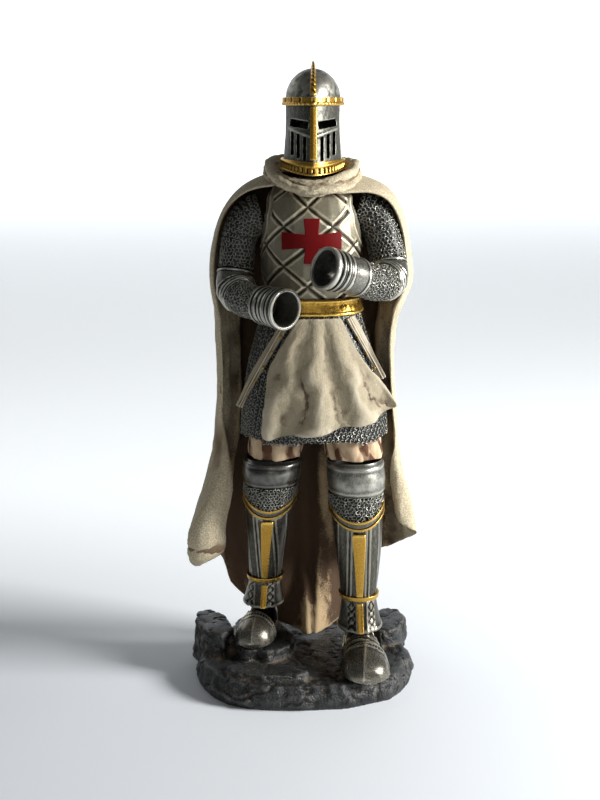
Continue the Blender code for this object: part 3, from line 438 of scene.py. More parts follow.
# ----------------------------------------------------------------------------------------------
# Ankles, greaves and knees. Plate pieces round the lower legs with gilt bands and ribs, and
# knee cops above them. Each plate is brushed bright along its ridges.
# ----------------------------------------------------------------------------------------------
GREAVE_STEEL = washed_and_shaded(
    "greave_steel", (0.012, 0.010, 0.008), (0.06, 0.056, 0.043), (0.34, 0.32, 0.26),
    roughness=0.32, metallic=0.8, streak=(1.0, 1.0, 0.25), brushing=0.3,
)
# Lit and shaded copies of the knee cops' steel: the right knee, away from the key lamp, is painted
# darker as painted shade, and the left knee lighter as painted light.
LIT_KNEE_COP_STEEL = washed_and_shaded(
    "lit_knee_cop_steel", (0.025, 0.024, 0.022), (0.14, 0.135, 0.115), (0.48, 0.465, 0.405),
    roughness=0.33, metallic=0.75, grain=0.35, streak=(1.0, 1.0, 0.3), brushing=0.5, stain=0.15,
)
SHADED_KNEE_COP_STEEL = washed_and_shaded(
    "shaded_knee_cop_steel", (0.006, 0.006, 0.007), (0.035, 0.033, 0.028), (0.26, 0.25, 0.22),
    roughness=0.22, metallic=0.7, grain=0.35, brushing=0.2, stain=0.15, edge=0.5, coat=0.5,
)
GOLD_PAINT = washed_and_shaded(
    "gilt", (0.040, 0.018, 0.004), (0.46, 0.25, 0.035), (0.90, 0.60, 0.15),
    roughness=0.30, metallic=0.85, stain=0.6,
)
GREAVE_LINES = (3.6, 5.6, 11.5)  # raised lines this far to each side of the rib
SCROLL_MIDDLE, SCROLL_SWAY, SCROLL_PITCH = 5.4, 1.7, 7.0  # of the two waves at each ankle
for side in ("left", "right"):
    rib_lo, rib_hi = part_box(f"greave_rib_{side}")
    leg_lo, leg_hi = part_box(f"greave_{side}")
    facing = math.atan2(
        (rib_lo.x + rib_hi.x - leg_lo.x - leg_hi.x) / 2.0,
        -(rib_lo.y + rib_hi.y - leg_lo.y - leg_hi.y) / 2.0 - 3.0 * MM,
    )
    for node, slot, material, levels, crease in (
        ("ankle_band", "gold", GOLD_PAINT, 3, 0.6),
        ("ankle_plate", "worn_steel", GREAVE_STEEL, 3, 0.7),
        ("ankle_rib", "gold", GOLD_PAINT, 3, 0.4),
        ("greave", "worn_steel", GREAVE_STEEL, 3, 0.7),
        ("greave_rib", "gold", GOLD_PAINT, 3, 0.4),
        ("knee_plate", "worn_steel", GREAVE_STEEL, 3, 0.7),
        ("knee_edge_lower", "gold", GOLD_PAINT, 3, 0.5),
        ("knee_edge_upper", "gold", GOLD_PAINT, 3, 0.5),
        # The right knee cop takes the darker copy, as painted shade.
        ("knee_cop", "blackened_steel", SHADED_KNEE_COP_STEEL if side == "right" else LIT_KNEE_COP_STEEL, 3, 0.6),
    ):
        plate = cast_copy(
            f"{node}_{side}", f"{node}_{side}_cast", material, levels=levels, crease=crease
        )
        lo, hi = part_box(f"{node}_{side}")
        points, normals = points_of(plate), points_of(plate, "normal")
        middle = np.array(((lo.x + hi.x) / 2.0, (lo.y + hi.y) / 2.0))
        spokes = points[:, :2] - middle
        radius = np.linalg.norm(spokes, axis=1) / MM
        outward = np.einsum("ij,ij->i", normals[:, :2], spokes) > 0.25 * radius * MM
        rise = (points[:, 2] - lo.z) / (hi.z - lo.z)
        aside = (np.arctan2(spokes[:, 0], -spokes[:, 1]) - facing) * radius
        if node == "greave":
            lines = [np.exp(-(((np.abs(aside) - at) / 0.5) ** 2)) for at in GREAVE_LINES]
            hem = np.exp(-(((rise - 0.03) / 0.02) ** 2)) + np.exp(-(((rise - 0.97) / 0.02) ** 2))
            push_out(plate, np.where(outward, 0.35 * sum(lines) + 0.3 * hem, 0.0))
        elif node == "ankle_plate":
            sway = SCROLL_SWAY * np.sin(points[:, 2] / MM * 2.0 * math.pi / SCROLL_PITCH)
            waves = (SCROLL_MIDDLE + sway, SCROLL_MIDDLE - sway)
            scroll = sum(np.exp(-(((np.abs(aside) - at) / 0.45) ** 2)) for at in waves)
            border = np.exp(-(((np.abs(aside) - 2.6) / 0.35) ** 2))
            border = border + np.exp(-(((rise - 0.08) / 0.05) ** 2))
            push_out(plate, np.where(outward, 0.35 * border - 0.35 * scroll + 0.1, 0.0))
        elif node.endswith("_rib"):
            narrow = 0.62 + 0.38 * rise if node == "greave_rib" else 0.45 + 0.2 * rise
            spine = np.polyval(np.polyfit(points[:, 2], points[:, 0], 1), points[:, 2])
            points[:, 0] = spine + (points[:, 0] - spine) * narrow
            points[:, 1] -= 0.25 * MM
            move_points(plate, points)
        elif node == "knee_cop":
            swell = np.exp(-(((rise - 0.84) / 0.07) ** 2))
            swell += 0.8 * np.exp(-(((rise - 0.1) / 0.06) ** 2))
            dent = 0.12 * lumps(points, 5.0, 14, 2)
            push_out(plate, np.where(outward, 0.5 * swell - 0.2 + dent, 0.0))
        mark_hollows(plate, 7, 0.16)

# ----------------------------------------------------------------------------------------------
# Breeches. Peach-cream cloth between the mail skirt and the knee, full and softly creased, with
# brown and painted shade in the creases.
# ----------------------------------------------------------------------------------------------
BREECHES_PAINT = washed_and_shaded(
    "breeches_cloth", (0.10, 0.04, 0.015), (0.50, 0.34, 0.20), (0.74, 0.56, 0.37),
    roughness=0.85, stain=0.7, relief=0.10, edge=0.6,
)
for side in ("left", "right"):
    legging = cast_copy(
        f"breeches_{side}", f"breeches_{side}_cloth", BREECHES_PAINT, levels=3
    )
    points = points_of(legging)
    lo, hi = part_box(f"breeches_{side}")
    round_leg = np.arctan2(points[:, 0] - (lo.x + hi.x) / 2.0, -points[:, 1] + (lo.y + hi.y) / 2.0)
    slack = np.sin(round_leg * 7.0 + points[:, 2] / MM * 0.22 + 1.5 * lumps(points, 14.0, 12))
    push_out(legging, 0.6 * slack + 0.6 * lumps(points * np.array((1.0, 1.0, 0.45)), 5.0, 11) - 0.4)
    mark_hollows(legging, 16, 0.6)

# ----------------------------------------------------------------------------------------------
# Mail skirt and the mail at the knees. Rows of small steel links over a near-black backing, each
# row leaning the other way from the one above it.
# ----------------------------------------------------------------------------------------------
MAIL_BASE = washed_and_shaded(
    "mail_backing", (0.005, 0.005, 0.006), (0.010, 0.011, 0.012), (0.06, 0.06, 0.058),
    roughness=0.45, metallic=0.5, edge=0.3,
)
MAIL_LINKS = washed_and_shaded(
    "mail_links", (0.015, 0.014, 0.012), (0.19, 0.185, 0.155), (0.62, 0.60, 0.51),
    roughness=0.34, metallic=0.7, edge=0.9,
)


def link_shape(around, across, width, wire, sweep):
    """One open link lying flat: width is its outer radius in millimetres, sweep its degrees."""
    turns = np.radians(np.linspace(0.0, sweep, around + 1))
    rims = np.radians(360.0 * np.arange(across) / across)
    points = [
        ((width - wire + wire * math.cos(rim)) * math.cos(turn),
         (width - wire + wire * math.cos(rim)) * math.sin(turn),
         wire * math.sin(rim))
        for turn in turns
        for rim in rims
    ]
    faces = []
    for i in range(around):
        for j in range(across):
            k, m = i + 1, (j + 1) % across
            faces.append((i * across + j, k * across + j, k * across + m, i * across + m))
    faces.append(tuple(range(across))[::-1])
    faces.append(tuple(around * across + j for j in range(across)))
    return np.array(points) * MM, faces


def link_sheet(name, seats, shape, lean, seed, material, tumble, stray):
    """Many links set in seats: each a point, the way out of the surface, and the way along it.

    Lean gives each link's tilt in turn, tumble how far they are turned at random, both in
    degrees, and stray how far they are moved, in millimetres.
    """
    points, faces = shape
    chance = np.random.default_rng(seed)
    made_points, made_faces = [], []
    for number, (seat, out, ahead) in enumerate(seats):
        out, ahead = Vector(out).normalized(), Vector(ahead).normalized()
        across = out.cross(ahead).normalized()
        ahead = across.cross(out)
        turn = Matrix((ahead, across, out)).transposed()
        tilt = Matrix.Rotation(math.radians(lean[number % len(lean)] + chance.normal(0, 7)), 3, "Y")
        roll = Matrix.Rotation(math.radians(chance.normal(0, tumble)), 3, "Z")
        shift = (ahead * chance.uniform(-1, 1) + across * chance.uniform(-1, 1)) * stray * MM
        placed = points @ np.array(turn @ roll @ tilt).T + np.array(Vector(seat) + shift)
        made_faces += [tuple(k + len(made_points) * len(points) for k in face) for face in faces]
        made_points.append(placed)
    mesh = bpy.data.meshes.new(name)
    mesh.from_pydata(np.concatenate(made_points).tolist(), [], made_faces)
    links = bpy.data.objects.new(name, mesh)
    bpy.context.scene.collection.objects.link(links)
    mesh.shade_smooth()
    mesh.materials.append(material)
    # Painted shade: the half of each link that faces the surface under it is marked as a hollow, so
    # it paints dark, and the outer half takes the lighter dry-brushed colour.
    mark = mesh.attributes.new("hollow", "FLOAT", "POINT")
    shade = np.tile(-points[:, 2] / np.abs(points[:, 2]).max() * 0.5, len(made_points))
    mark.data.foreach_set("value", shade.astype(np.float32))
    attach(links, "root")
    return links


def surface_of(node):
    """A frame node's surface, for casting rays at."""
    mesh = nodes[node].data
    return BVHTree.FromPolygons([v.co for v in mesh.vertices], [p.vertices for p in mesh.polygons])


BURIED = 0.1  # each link sinks this far into the surface under it


def seats_round(node, middles, spacing, reach=12.0):
    """Seats for links in rows round a tube; each middle is a point, the way ahead and a side."""
    shell = surface_of(node)
    seats = []
    for number, (middle, ahead, side, radius) in enumerate(middles):
        middle, ahead = Vector(middle) * MM, Vector(ahead).normalized()
        side = (Vector(side) - ahead * Vector(side).dot(ahead)).normalized()
        up = ahead.cross(side)
        count = max(6, round(2.0 * math.pi * radius / spacing))
        for k in range(count):
            turn = 2.0 * math.pi * (k + 0.5 * (number % 2)) / count
            out = side * math.cos(turn) + up * math.sin(turn)
            hit, normal, _, _ = shell.ray_cast(middle + out * (radius + reach) * MM, -out)
            if hit is None or (hit - middle).length < 0.5 * radius * MM:
                continue
            if normal.dot(out) < 0.0:
                normal = -normal
            seats.append((hit - normal * BURIED * MM, normal, ahead.cross(normal)))
    return seats


SKIRT_PITCH = 1.85  # from one row of links to the next
SKIRT_GAP = 2.2  # from one link to the next along a row
SKIRT_HEIGHTS, SKIRT_RADII = (125.0, 189.0), (31.5, 19.5)
KNEE_PITCH, KNEE_GAP = 1.5, 2.0
skirt_base = cast_copy("mail_skirt", "mail_skirt_backing", MAIL_BASE, levels=1)
mark_hollows(skirt_base, 4, 0.3)
lo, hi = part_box("mail_skirt")
rounds = [
    ((0.0, 1.0, z), (0, 0, 1), (1, 0, 0), float(np.interp(z, SKIRT_HEIGHTS, SKIRT_RADII)))
    for z in np.arange(lo.z / MM + 0.7, hi.z / MM - 1.0, SKIRT_PITCH)
]
skirt_seats = seats_round("mail_skirt", rounds, SKIRT_GAP)
link_sheet(
    "mail_skirt_links", skirt_seats, link_shape(6, 3, 1.05, 0.24, 285.0), (14.0,), 5,
    MAIL_LINKS, tumble=38.0, stray=0.22,
)
for side in ("left", "right"):
    backing = cast_copy(
        f"knee_mail_{side}", f"knee_mail_{side}_backing", MAIL_BASE, levels=1
    )
    mark_hollows(backing, 4, 0.3)
    lo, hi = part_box(f"knee_mail_{side}")
    middle = (lo + hi) / 2.0 / MM
    radius = (hi.x - lo.x) / 2.0 / MM
    rounds = [
        ((middle.x, middle.y, z), (0, 0, 1), (1, 0, 0), radius)
        for z in np.arange(lo.z / MM + 0.8, hi.z / MM - 0.5, KNEE_PITCH)
    ]
    seats = seats_round(f"knee_mail_{side}", rounds, KNEE_GAP)
    link_sheet(
        f"knee_mail_{side}_links", seats, link_shape(6, 3, 1.05, 0.25, 285.0), (14.0,), 6,
        MAIL_LINKS, tumble=60.0, stray=0.25,
    )

# ----------------------------------------------------------------------------------------------
# Front skirt of the coat and the two hip straps. One panel of pale cloth, swept to the wearer's
# left in soft folds, under straps with raised edges and small gilt studs.
# ----------------------------------------------------------------------------------------------
FLAP_PAINT = washed_and_shaded(
    "flap_cloth", (0.085, 0.048, 0.022), (0.34, 0.285, 0.185), (0.58, 0.51, 0.375),
    roughness=0.75, grain=0.45, streak=(1.0, 1.0, 0.5), stain=0.3, relief=0.16, edge=0.6,
)
flap = cast_copy("coat_front_skirt", "coat_front_skirt_cloth", FLAP_PAINT, levels=3)
points = points_of(flap)
FAN_X, FAN_Z = 2.0, 200.0  # the folds fan down from here
FLAP_TOP = 184.0
spread = np.arctan2(points[:, 0] / MM - FAN_X, FAN_Z - points[:, 2] / MM)
low = np.clip((FLAP_TOP - points[:, 2] / MM) / 30.0, 0.0, 1.0)
ridges = np.cos(spread * 19.0 + 1.8 * lumps(points, 18.0, 21)) * low
push_out(flap, 1.05 * ridges + 0.35 + 0.15 * lumps(points, 1.6, 22))
mark_hollows(flap, 60, 1.1)

STRAP_PAINT = washed_and_shaded(
    "strap_leather", (0.05, 0.03, 0.014), (0.34, 0.28, 0.18), (0.66, 0.58, 0.42),
    roughness=0.5, stain=0.8,
)
STRAP_LINES = {
    "right": ((-10.4, 184.2), (-16.6, 173.0), (-23.2, 161.0), (-29.0, 150.0), (-33.4, 141.0)),
    "left": ((15.8, 184.2), (21.4, 173.5), (28.0, 161.5), (31.8, 154.5)),
}
for side, stops in STRAP_LINES.items():
    strap = cast_copy(
        f"hip_strap_{side}", f"hip_strap_{side}_leather", STRAP_PAINT,
        levels=3, crease=0.5,
    )
    stops = np.array(stops)[::-1]
    points, normals = points_of(strap), points_of(strap, "normal")
    height = points[:, 2] / MM
    line_x = np.interp(height, stops[:, 1], stops[:, 0])
    lean = np.interp(height, stops[:, 1], np.gradient(stops[:, 0], stops[:, 1]))
    aside = (points[:, 0] / MM - line_x) / np.sqrt(1.0 + lean**2)
    front = normals[:, 1] < -0.2
    edge = np.exp(-(((np.abs(aside) - 1.35) / 0.3) ** 2))
    push_out(strap, np.where(front, 0.5 * edge - 0.15, 0.0))
    mark_hollows(strap, 5, 0.16)
    # Gilt studs down the middle of the strap, each seated on its face.
    face = surface_of(f"hip_strap_{side}")
    for number, height in enumerate(np.arange(stops[0, 1] + 5.0, stops[-1, 1] - 4.0, 7.5)):
        start = Vector((np.interp(height, stops[:, 1], stops[:, 0]), -60.0, height)) * MM
        hit, normal, _, _ = face.ray_cast(start, Vector((0.0, 1.0, 0.0)))
        if hit is None:
            continue
        bpy.ops.object.select_all(action="DESELECT")
        bpy.ops.mesh.primitive_ico_sphere_add(subdivisions=3, radius=0.75 * MM, location=hit)
        stud = bpy.context.active_object
        stud.name = f"hip_stud_{side}_{number + 1}"
        stud.scale = (1.0, 1.0, 0.6)
        stud.rotation_euler = normal.to_track_quat("Z", "Y").to_euler()
        bpy.ops.object.transform_apply(location=True, rotation=True, scale=True)
        bpy.ops.object.shade_smooth()
        stud.data.materials.append(GOLD_PAINT)
        mark_hollows(stud, 1, 0.5)
        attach(stud, "root")

# ----------------------------------------------------------------------------------------------
# Quilted coat, its red cross and the gilt belt. The coat is a stiff panel sewn in diamonds with
# pale raised edges, and brown and painted shade in the seams. The cross is raised enamel with
# darker edges.
# ----------------------------------------------------------------------------------------------
QUILT_PAINT = washed_and_shaded(
    "quilted_panel", (0.035, 0.022, 0.009), (0.235, 0.21, 0.145), (0.68, 0.61, 0.44),
    roughness=0.36, metallic=0.5, brushing=0.2, stain=0.35, edge=0.9,
)
coat = cast_copy(
    "quilted_coat", "quilted_coat_cloth", QUILT_PAINT,
    levels=0, voxel=0.70, polish=5,
)
points, normals = points_of(coat), points_of(coat, "normal")
# One crossing of the seams, half a diamond's width and height, and the coat's own radius.
DIAMOND_X, DIAMOND_Z, DIAMOND_HALF_X, DIAMOND_HALF_Z = -2.5, 235.4, 8.7, 9.1
COAT_RADIUS = 19.0
round_x = np.where(
    points[:, 1] < 0.0, points[:, 0] / MM - DIAMOND_X, -(points[:, 0] / MM - DIAMOND_X)
)
girth = np.arctan2(round_x, np.abs(points[:, 1]) / MM + 4.0) * COAT_RADIUS
u = (girth / DIAMOND_HALF_X + (points[:, 2] / MM - DIAMOND_Z) / DIAMOND_HALF_Z) / 2.0
v = (girth / DIAMOND_HALF_X - (points[:, 2] / MM - DIAMOND_Z) / DIAMOND_HALF_Z) / 2.0
seam = np.minimum(np.abs(u - np.round(u)), np.abs(v - np.round(v))) * 2.0 * DIAMOND_HALF_X / 1.45
groove = -0.7 * np.exp(-((seam / 0.6) ** 2)) + 0.22 * np.exp(-(((seam - 1.25) / 0.38) ** 2))
outward = np.einsum("ij,ij->i", normals[:, :2], points[:, :2]) > 0.0
# A narrow raised rim runs round each armhole, and the diamonds stop short of it.
ARMHOLES = ((0.9, 228.5), (0.9, 231.0))  # y and z of the middle of each
ARMHOLE_RIM = 13.2  # radius of the rim
PLAIN_TO = 14.6  # the quilting starts this far out
hole = np.minimum(*(np.linalg.norm(points[:, 1:] / MM - np.array(at), axis=1) for at in ARMHOLES))
beside = np.abs(points[:, 0] / MM) > 14.0
rim = np.exp(-(((hole - ARMHOLE_RIM) / 0.7) ** 2)) * beside
groove = np.where((hole < PLAIN_TO) & beside, 0.0, groove) + 0.5 * rim
push_out(coat, np.where(outward, groove + 0.1, 0.0))
mark_hollows(coat, 5, 0.28)

RED_PAINT = washed_and_shaded(
    "red_enamel", (0.012, 0.001, 0.001), (0.15, 0.003, 0.004), (0.28, 0.010, 0.010),
    roughness=0.5, brushing=0.3, stain=0.5, edge=0.4,
)
RED_PAINT.node_tree.nodes["Principled BSDF"].inputs["Specular IOR Level"].default_value = 0.12
cross = cast_copy("red_cross", "red_cross_enamel", RED_PAINT, levels=3, crease=0.9)
mark_hollows(cross, 8, 0.3)

belt = cast_copy("gold_belt", "gold_belt_band", GOLD_PAINT, levels=3, crease=0.6)
points, normals = points_of(belt), points_of(belt, "normal")
lo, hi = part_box("gold_belt")
rise = (points[:, 2] - lo.z) / (hi.z - lo.z)
outward = np.einsum("ij,ij->i", normals[:, :2], points[:, :2]) > 0.3 * np.linalg.norm(
    points[:, :2], axis=1
)
borders = np.exp(-(((rise - 0.13) / 0.08) ** 2)) + np.exp(-(((rise - 0.87) / 0.08) ** 2))
BELT_STUD_X, BELT_TALL = 14.5, 8.2
stud_off = np.hypot(points[:, 0] / MM - BELT_STUD_X, (rise - 0.5) * BELT_TALL)
stud = np.exp(-((stud_off / 0.75) ** 2))
beaten = 0.18 * lumps(points, 2.4, 31)
stud *= points[:, 1] < 0.0
push_out(belt, np.where(outward, 0.55 * borders + 0.8 * stud + beaten - 0.2, 0.0))
mark_hollows(belt, 6, 0.28)

# ----------------------------------------------------------------------------------------------
# Arms. Mail sleeves of large curled links to the elbow, smooth elbow guards, forearms of small
# links, and ridged steel cuffs at the wrists. The cuffs are open at both ends.
# ----------------------------------------------------------------------------------------------
SLEEVE_LINKS = washed_and_shaded(
    "sleeve_links", (0.012, 0.011, 0.009), (0.17, 0.165, 0.14), (0.60, 0.58, 0.49),
    roughness=0.33, metallic=0.7, edge=0.9,
)
ARM_STEEL = washed_and_shaded(
    "arm_steel", (0.008, 0.007, 0.006), (0.13, 0.125, 0.105), (0.62, 0.60, 0.52),
    roughness=0.32, metallic=0.75, brushing=0.35, stain=0.8,
)
ARM_LINES = {
    "right": (
        (-22.0, 1.5, 232.0), (-29.6, 1.0, 229.0), (-34.6, -0.5, 220.0), (-36.0, -2.0, 208.5),
        (-36.6, -6.5, 197.4), (-32.0, -16.5, 192.8), (-25.0, -26.0, 192.2), (-19.0, -32.8, 191.9),
        (-12.6, -39.8, 191.6),
    ),
    "left": (
        (19.0, 1.5, 234.6), (27.0, 0.8, 231.4), (32.6, -1.0, 222.4), (35.0, -3.0, 212.0),
        (35.8, -8.4, 202.6), (31.0, -18.6, 200.6), (23.0, -27.6, 203.6), (14.4, -35.8, 207.2),
        (5.0, -43.4, 210.6),
    ),
}
SPAN_STEPS = 36  # points of the arm's middle line to each span between stations
ARM_RADIUS = 9.6


def arm_line(stations):
    """Points and directions close together along the middle of an arm."""
    corners = [np.array(p) for p in stations]
    corners = [2 * corners[0] - corners[1], *corners, 2 * corners[-1] - corners[-2]]
    line = []
    for before, start, end, after in zip(corners, corners[1:], corners[2:], corners[3:]):
        for t in np.arange(SPAN_STEPS) / SPAN_STEPS:
            bend = (2 * before - 5 * start + 4 * end - after) * t**2
            twist = (3 * start - before - 3 * end + after) * t**3
            line.append(0.5 * (2 * start + (end - before) * t + bend + twist))
    line = np.array(line)
    ahead = np.gradient(line, axis=0)
    ahead /= np.linalg.norm(ahead, axis=1)[:, None]
    length = np.concatenate([[0.0], np.cumsum(np.linalg.norm(np.diff(line, axis=0), axis=1))])
    return line, ahead, length


for side, stations in ARM_LINES.items():
    line, ahead, length = arm_line(stations)
    # The ends of the sleeve, elbow guard, forearm and cuff, each so many thirds of a span along.
    marks = [
        length[min(len(length) - 1, SPAN_STEPS // 3 * thirds)] for thirds in (1, 10, 14, 19, 24)
    ]
    for node, start, end, pitch, spacing, shape, links_paint in (
        (
            "mail_sleeve", marks[0] + 0.8, marks[1] - 0.6, 1.95, 2.1,
            link_shape(7, 3, 1.2, 0.26, 280.0), SLEEVE_LINKS,
        ),
        (
            "mail_forearm", marks[2] + 0.8, marks[3] - 0.5, 1.75, 1.9,
            link_shape(7, 3, 1.02, 0.24, 285.0), MAIL_LINKS,
        ),
    ):
        backing = cast_copy(
            f"{node}_{side}", f"{node}_{side}_backing", MAIL_BASE, levels=1
        )
        mark_hollows(backing, 4, 0.3)
        rounds = []
        beginning = (0.3, 0.2, 1.0) if node == "mail_forearm" else (0.0, 1.0, 0.0)
        for reach in np.arange(start, end, pitch):
            middle = [np.interp(reach, length, line[:, k]) for k in range(3)]
            way = [np.interp(reach, length, ahead[:, k]) for k in range(3)]
            rounds.append((middle, way, beginning, ARM_RADIUS))
        seats = seats_round(f"{node}_{side}", rounds, spacing, reach=5.0)
        link_sheet(
            f"{node}_{side}_links", seats, shape, (12.0, 18.0, 8.0), 9, links_paint,
            tumble=90.0, stray=0.3,
        )
    # Raised ridges round the elbow guard and cuff: where each is along the piece, and how high.
    for node, first, last, ridges in (
        ("elbow_guard", marks[1], marks[2], ((0.06, 0.5), (0.62, 0.6), (0.78, 0.7), (0.94, 0.7))),
        (
            "cuff", marks[3], marks[4],
            ((0.04, 0.7), (0.22, 0.6), (0.42, 0.7), (0.62, 0.7), (0.82, 0.8), (0.97, 0.5))
            if side == "right"
            else ((0.03, 0.8), (0.52, 0.7), (0.67, 0.8), (0.82, 0.8), (0.96, 0.7)),
        ),
    ):
        plate = cast_copy(
            f"{node}_{side}", f"{node}_{side}_plate", ARM_STEEL, levels=3, crease=0.6
        )
        points = points_of(plate)
        spine = line[::3]
        apart = ((points[:, None, :] / MM - spine[None, :, :]) ** 2).sum(axis=2)
        nearest = np.argmin(apart, axis=1)
        spot = (length[::3][nearest] - first) / (last - first)
        spokes = points / MM - spine[nearest]
        out = np.einsum("ij,ij->i", points_of(plate, "normal"), spokes) > 0.0
        height = sum(
            tall * np.exp(-(((spot - at) * (last - first) / 0.55) ** 2)) for at, tall in ridges
        )
        push_out(plate, np.where(out, height, 0.0))
        mark_hollows(plate, 6, 0.16)

# ----------------------------------------------------------------------------------------------
# Helm. A hammered skull over a face plate drawn to a prow, with a nape plate behind. A gilt band
# runs round the brow, a rib down the prow, a toothed trim round the rim and a comb over the top.
# ----------------------------------------------------------------------------------------------
HELM_STEEL = washed_and_shaded(
    "helm_steel", (0.014, 0.012, 0.009), (0.07, 0.068, 0.055), (0.40, 0.385, 0.33),
    roughness=0.42, metallic=0.75, grain=0.4, streak=(1.0, 1.0, 0.4), brushing=0.35, stain=0.3,
)
BAR_HEIGHT, BAR_SLOPE = 266.4, 0.34  # of the bar under each eye slot
for node, levels, crease, voxel, polish in (
    ("helm_face_plate", 0, 0.0, 0.40, 7),
    ("helm_nape_plate", 2, 0.7, 0.0, 0),
    ("helm_skull", 2, 0.4, 0.0, 0),
):
    plate = cast_copy(
        node, f"{node}_steel", HELM_STEEL, levels=levels, crease=crease, voxel=voxel,
        polish=polish,
    )
    points, normals = points_of(plate), points_of(plate, "normal")
    beaten = 0.16 * lumps(points, 2.6, 41, 2)
    if node == "helm_face_plate":
        # A raised bar slopes under each eye slot to the prow, over the panel of breaths.
        bar = points[:, 2] / MM - (BAR_HEIGHT + BAR_SLOPE * np.abs(points[:, 0]) / MM)
        front = np.clip((-points[:, 1] / MM - 4.0) / 3.0, 0.0, 1.0) * (normals[:, 1] < 0.0)
        beaten = 0.6 * beaten + 0.45 * np.exp(-((bar / 0.8) ** 2)) * front
    push_out(plate, beaten)
    mark_hollows(plate, 10, 0.25)

# The gilt trims: teeth cut in the rim, blocks and a bead along the brow, a twisted crest.
TEETH = 46
BLOCKS = 16
BEADS = 48
TWISTS = 44.0
RIM_TALL = 4.9 * MM
RIM_DIP = 2.2 * MM  # the rim hangs by this much under the prow
CREST_MIDDLE = 283.0  # height of the middle of the comb's arc
for node, levels, crease in (
    ("helm_brow_band", 3, 0.6), ("helm_rim_trim", 4, 0.6), ("helm_prow_rib", 3, 0.5),
    ("helm_comb", 3, 0.5),
):
    trim = cast_copy(node, f"{node}_gilt", GOLD_PAINT, levels=levels, crease=crease)
    points, normals = points_of(trim), points_of(trim, "normal")
    around = np.arctan2(points[:, 0], -points[:, 1]) / (2.0 * math.pi)
    outward = np.einsum("ij,ij->i", normals[:, :2], points[:, :2]) > 0.3 * np.linalg.norm(
        points[:, :2], axis=1
    )
    lo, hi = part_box(node)
    if node == "helm_rim_trim":
        drop = np.clip(np.cos(2.0 * math.pi * around), 0.0, 1.0) ** 2 * RIM_DIP
        rise = (points[:, 2] + drop - (hi.z - RIM_TALL)) / RIM_TALL
        gap = np.clip((np.cos(2.0 * math.pi * around * TEETH) - 0.15) * 2.5, 0.0, 1.0)
        gap *= np.clip((0.70 - rise) * 8.0, 0.0, 1.0) * np.clip((rise - 0.16) * 10.0, 0.0, 1.0)
        lip = np.exp(-(((rise - 0.86) / 0.12) ** 2)) + np.exp(-(((rise - 0.06) / 0.1) ** 2))
        push_out(trim, np.where(outward, 0.3 * lip - 0.75 * gap, 0.0))
    elif node == "helm_brow_band":
        rise = (points[:, 2] - lo.z) / (hi.z - lo.z)
        gap = np.clip((np.cos(2.0 * math.pi * around * BLOCKS) - 0.86) * 9.0, 0.0, 1.0)
        gap *= np.clip((rise - 0.35) * 8.0, 0.0, 1.0)
        bead = 0.28 * np.exp(-(((rise - 0.22) / 0.14) ** 2)) * (
            1.0 + 0.6 * np.cos(2.0 * math.pi * around * BEADS)
        )
        push_out(trim, np.where(outward, bead - 0.5 * gap, 0.0))
    elif node == "helm_comb":
        turn = np.arctan2(points[:, 2] / MM - CREST_MIDDLE, -points[:, 1] / MM)
        crest = np.clip(1.2 - np.abs(points[:, 0] / MM) / 0.9, 0.0, 1.0)
        push_out(trim, 0.3 * np.cos(turn * TWISTS + points[:, 0] / MM * 2.2) * crest)
    mark_hollows(trim, 8, 0.22)

# ----------------------------------------------------------------------------------------------
# Cloak and its rolled collar. Heavy cream cloth in deep folds, stained brown and painted with shade
# in the folds; its brown lining is painted dark as shade behind the body and pale as light along
# its edges. It is held round the neck by the collar alone.
# ----------------------------------------------------------------------------------------------
CLOAK_PAINT = Paint("cloak_cloth", roughness=0.85)
cloak_hollow = CLOAK_PAINT.mark("hollow")
lining_shade_share = CLOAK_PAINT.mark("lining_shade")
cloak_fine = CLOAK_PAINT.noise(0.7, 5.0)
cloak_cloud = CLOAK_PAINT.noise(11.0, 5.0, (1.0, 1.0, 0.4))
cloak_colour = CLOAK_PAINT.mix(
    CLOAK_PAINT.ramp(cloak_fine, 0.35, 0.7), (0.44, 0.36, 0.23), (0.68, 0.60, 0.43)
)
# Painted shade in the folds, with brown stains from the noise: the hollows take a dark brown.
cloak_low = CLOAK_PAINT.ramp(
    cloak_hollow + (cloak_cloud - 0.5) * 1.7 + (cloak_fine - 0.5) * 1.0, 0.02, 1.0
)
cloak_colour = CLOAK_PAINT.mix(cloak_low * 0.85, cloak_colour, (0.15, 0.085, 0.038))
cloak_proud = CLOAK_PAINT.ramp(
    cloak_hollow * -1.0 + (cloak_cloud - 0.5) * 1.6 + (cloak_fine - 0.5) * 1.2, 0.1, 0.9
)
# The lining as painted in shade: dark brown, lighter on its raised parts.
lining_shade_colour = CLOAK_PAINT.mix(cloak_proud, (0.075, 0.040, 0.018), (0.46, 0.33, 0.18))
cloak_colour = CLOAK_PAINT.mix(lining_shade_share, cloak_colour, lining_shade_colour)
CLOAK_PAINT.finish(cloak_colour, relief=cloak_fine + cloak_cloud, depth=0.3)

cloak = cast_copy("cloak", "cloak_cloth_folds", CLOAK_PAINT.material, levels=2)
points = points_of(cloak)
LOOSE_BELOW = 240.0  # the cloth hangs free under the shoulders
loose = np.clip((LOOSE_BELOW - points[:, 2] / MM) / 40.0, 0.0, 1.0)
# Long folds fan down from the shoulders, with finer creases over them.
turn = np.arctan2(points[:, 0], points[:, 1] + 6.0 * MM)
sway = 0.9 * lumps(points * np.array((1.0, 1.0, 0.3)), 22.0, 54)
folds = np.cos(turn * 15.0 + 2.2 * sway) + 0.5 * np.cos(turn * 27.0 - 2.0 * sway)
apart = points[:, :2] - np.array((0.0, -0.006))
apart /= np.linalg.norm(apart, axis=1)[:, None]
points[:, :2] += apart * (0.95 * folds * loose * MM)[:, None]
move_points(cloak, points)
drape = 0.7 * lumps(points * np.array((1.0, 1.0, 0.28)), 8.0, 51) + 0.35 * lumps(points, 2.4, 52)
push_out(cloak, drape * loose)
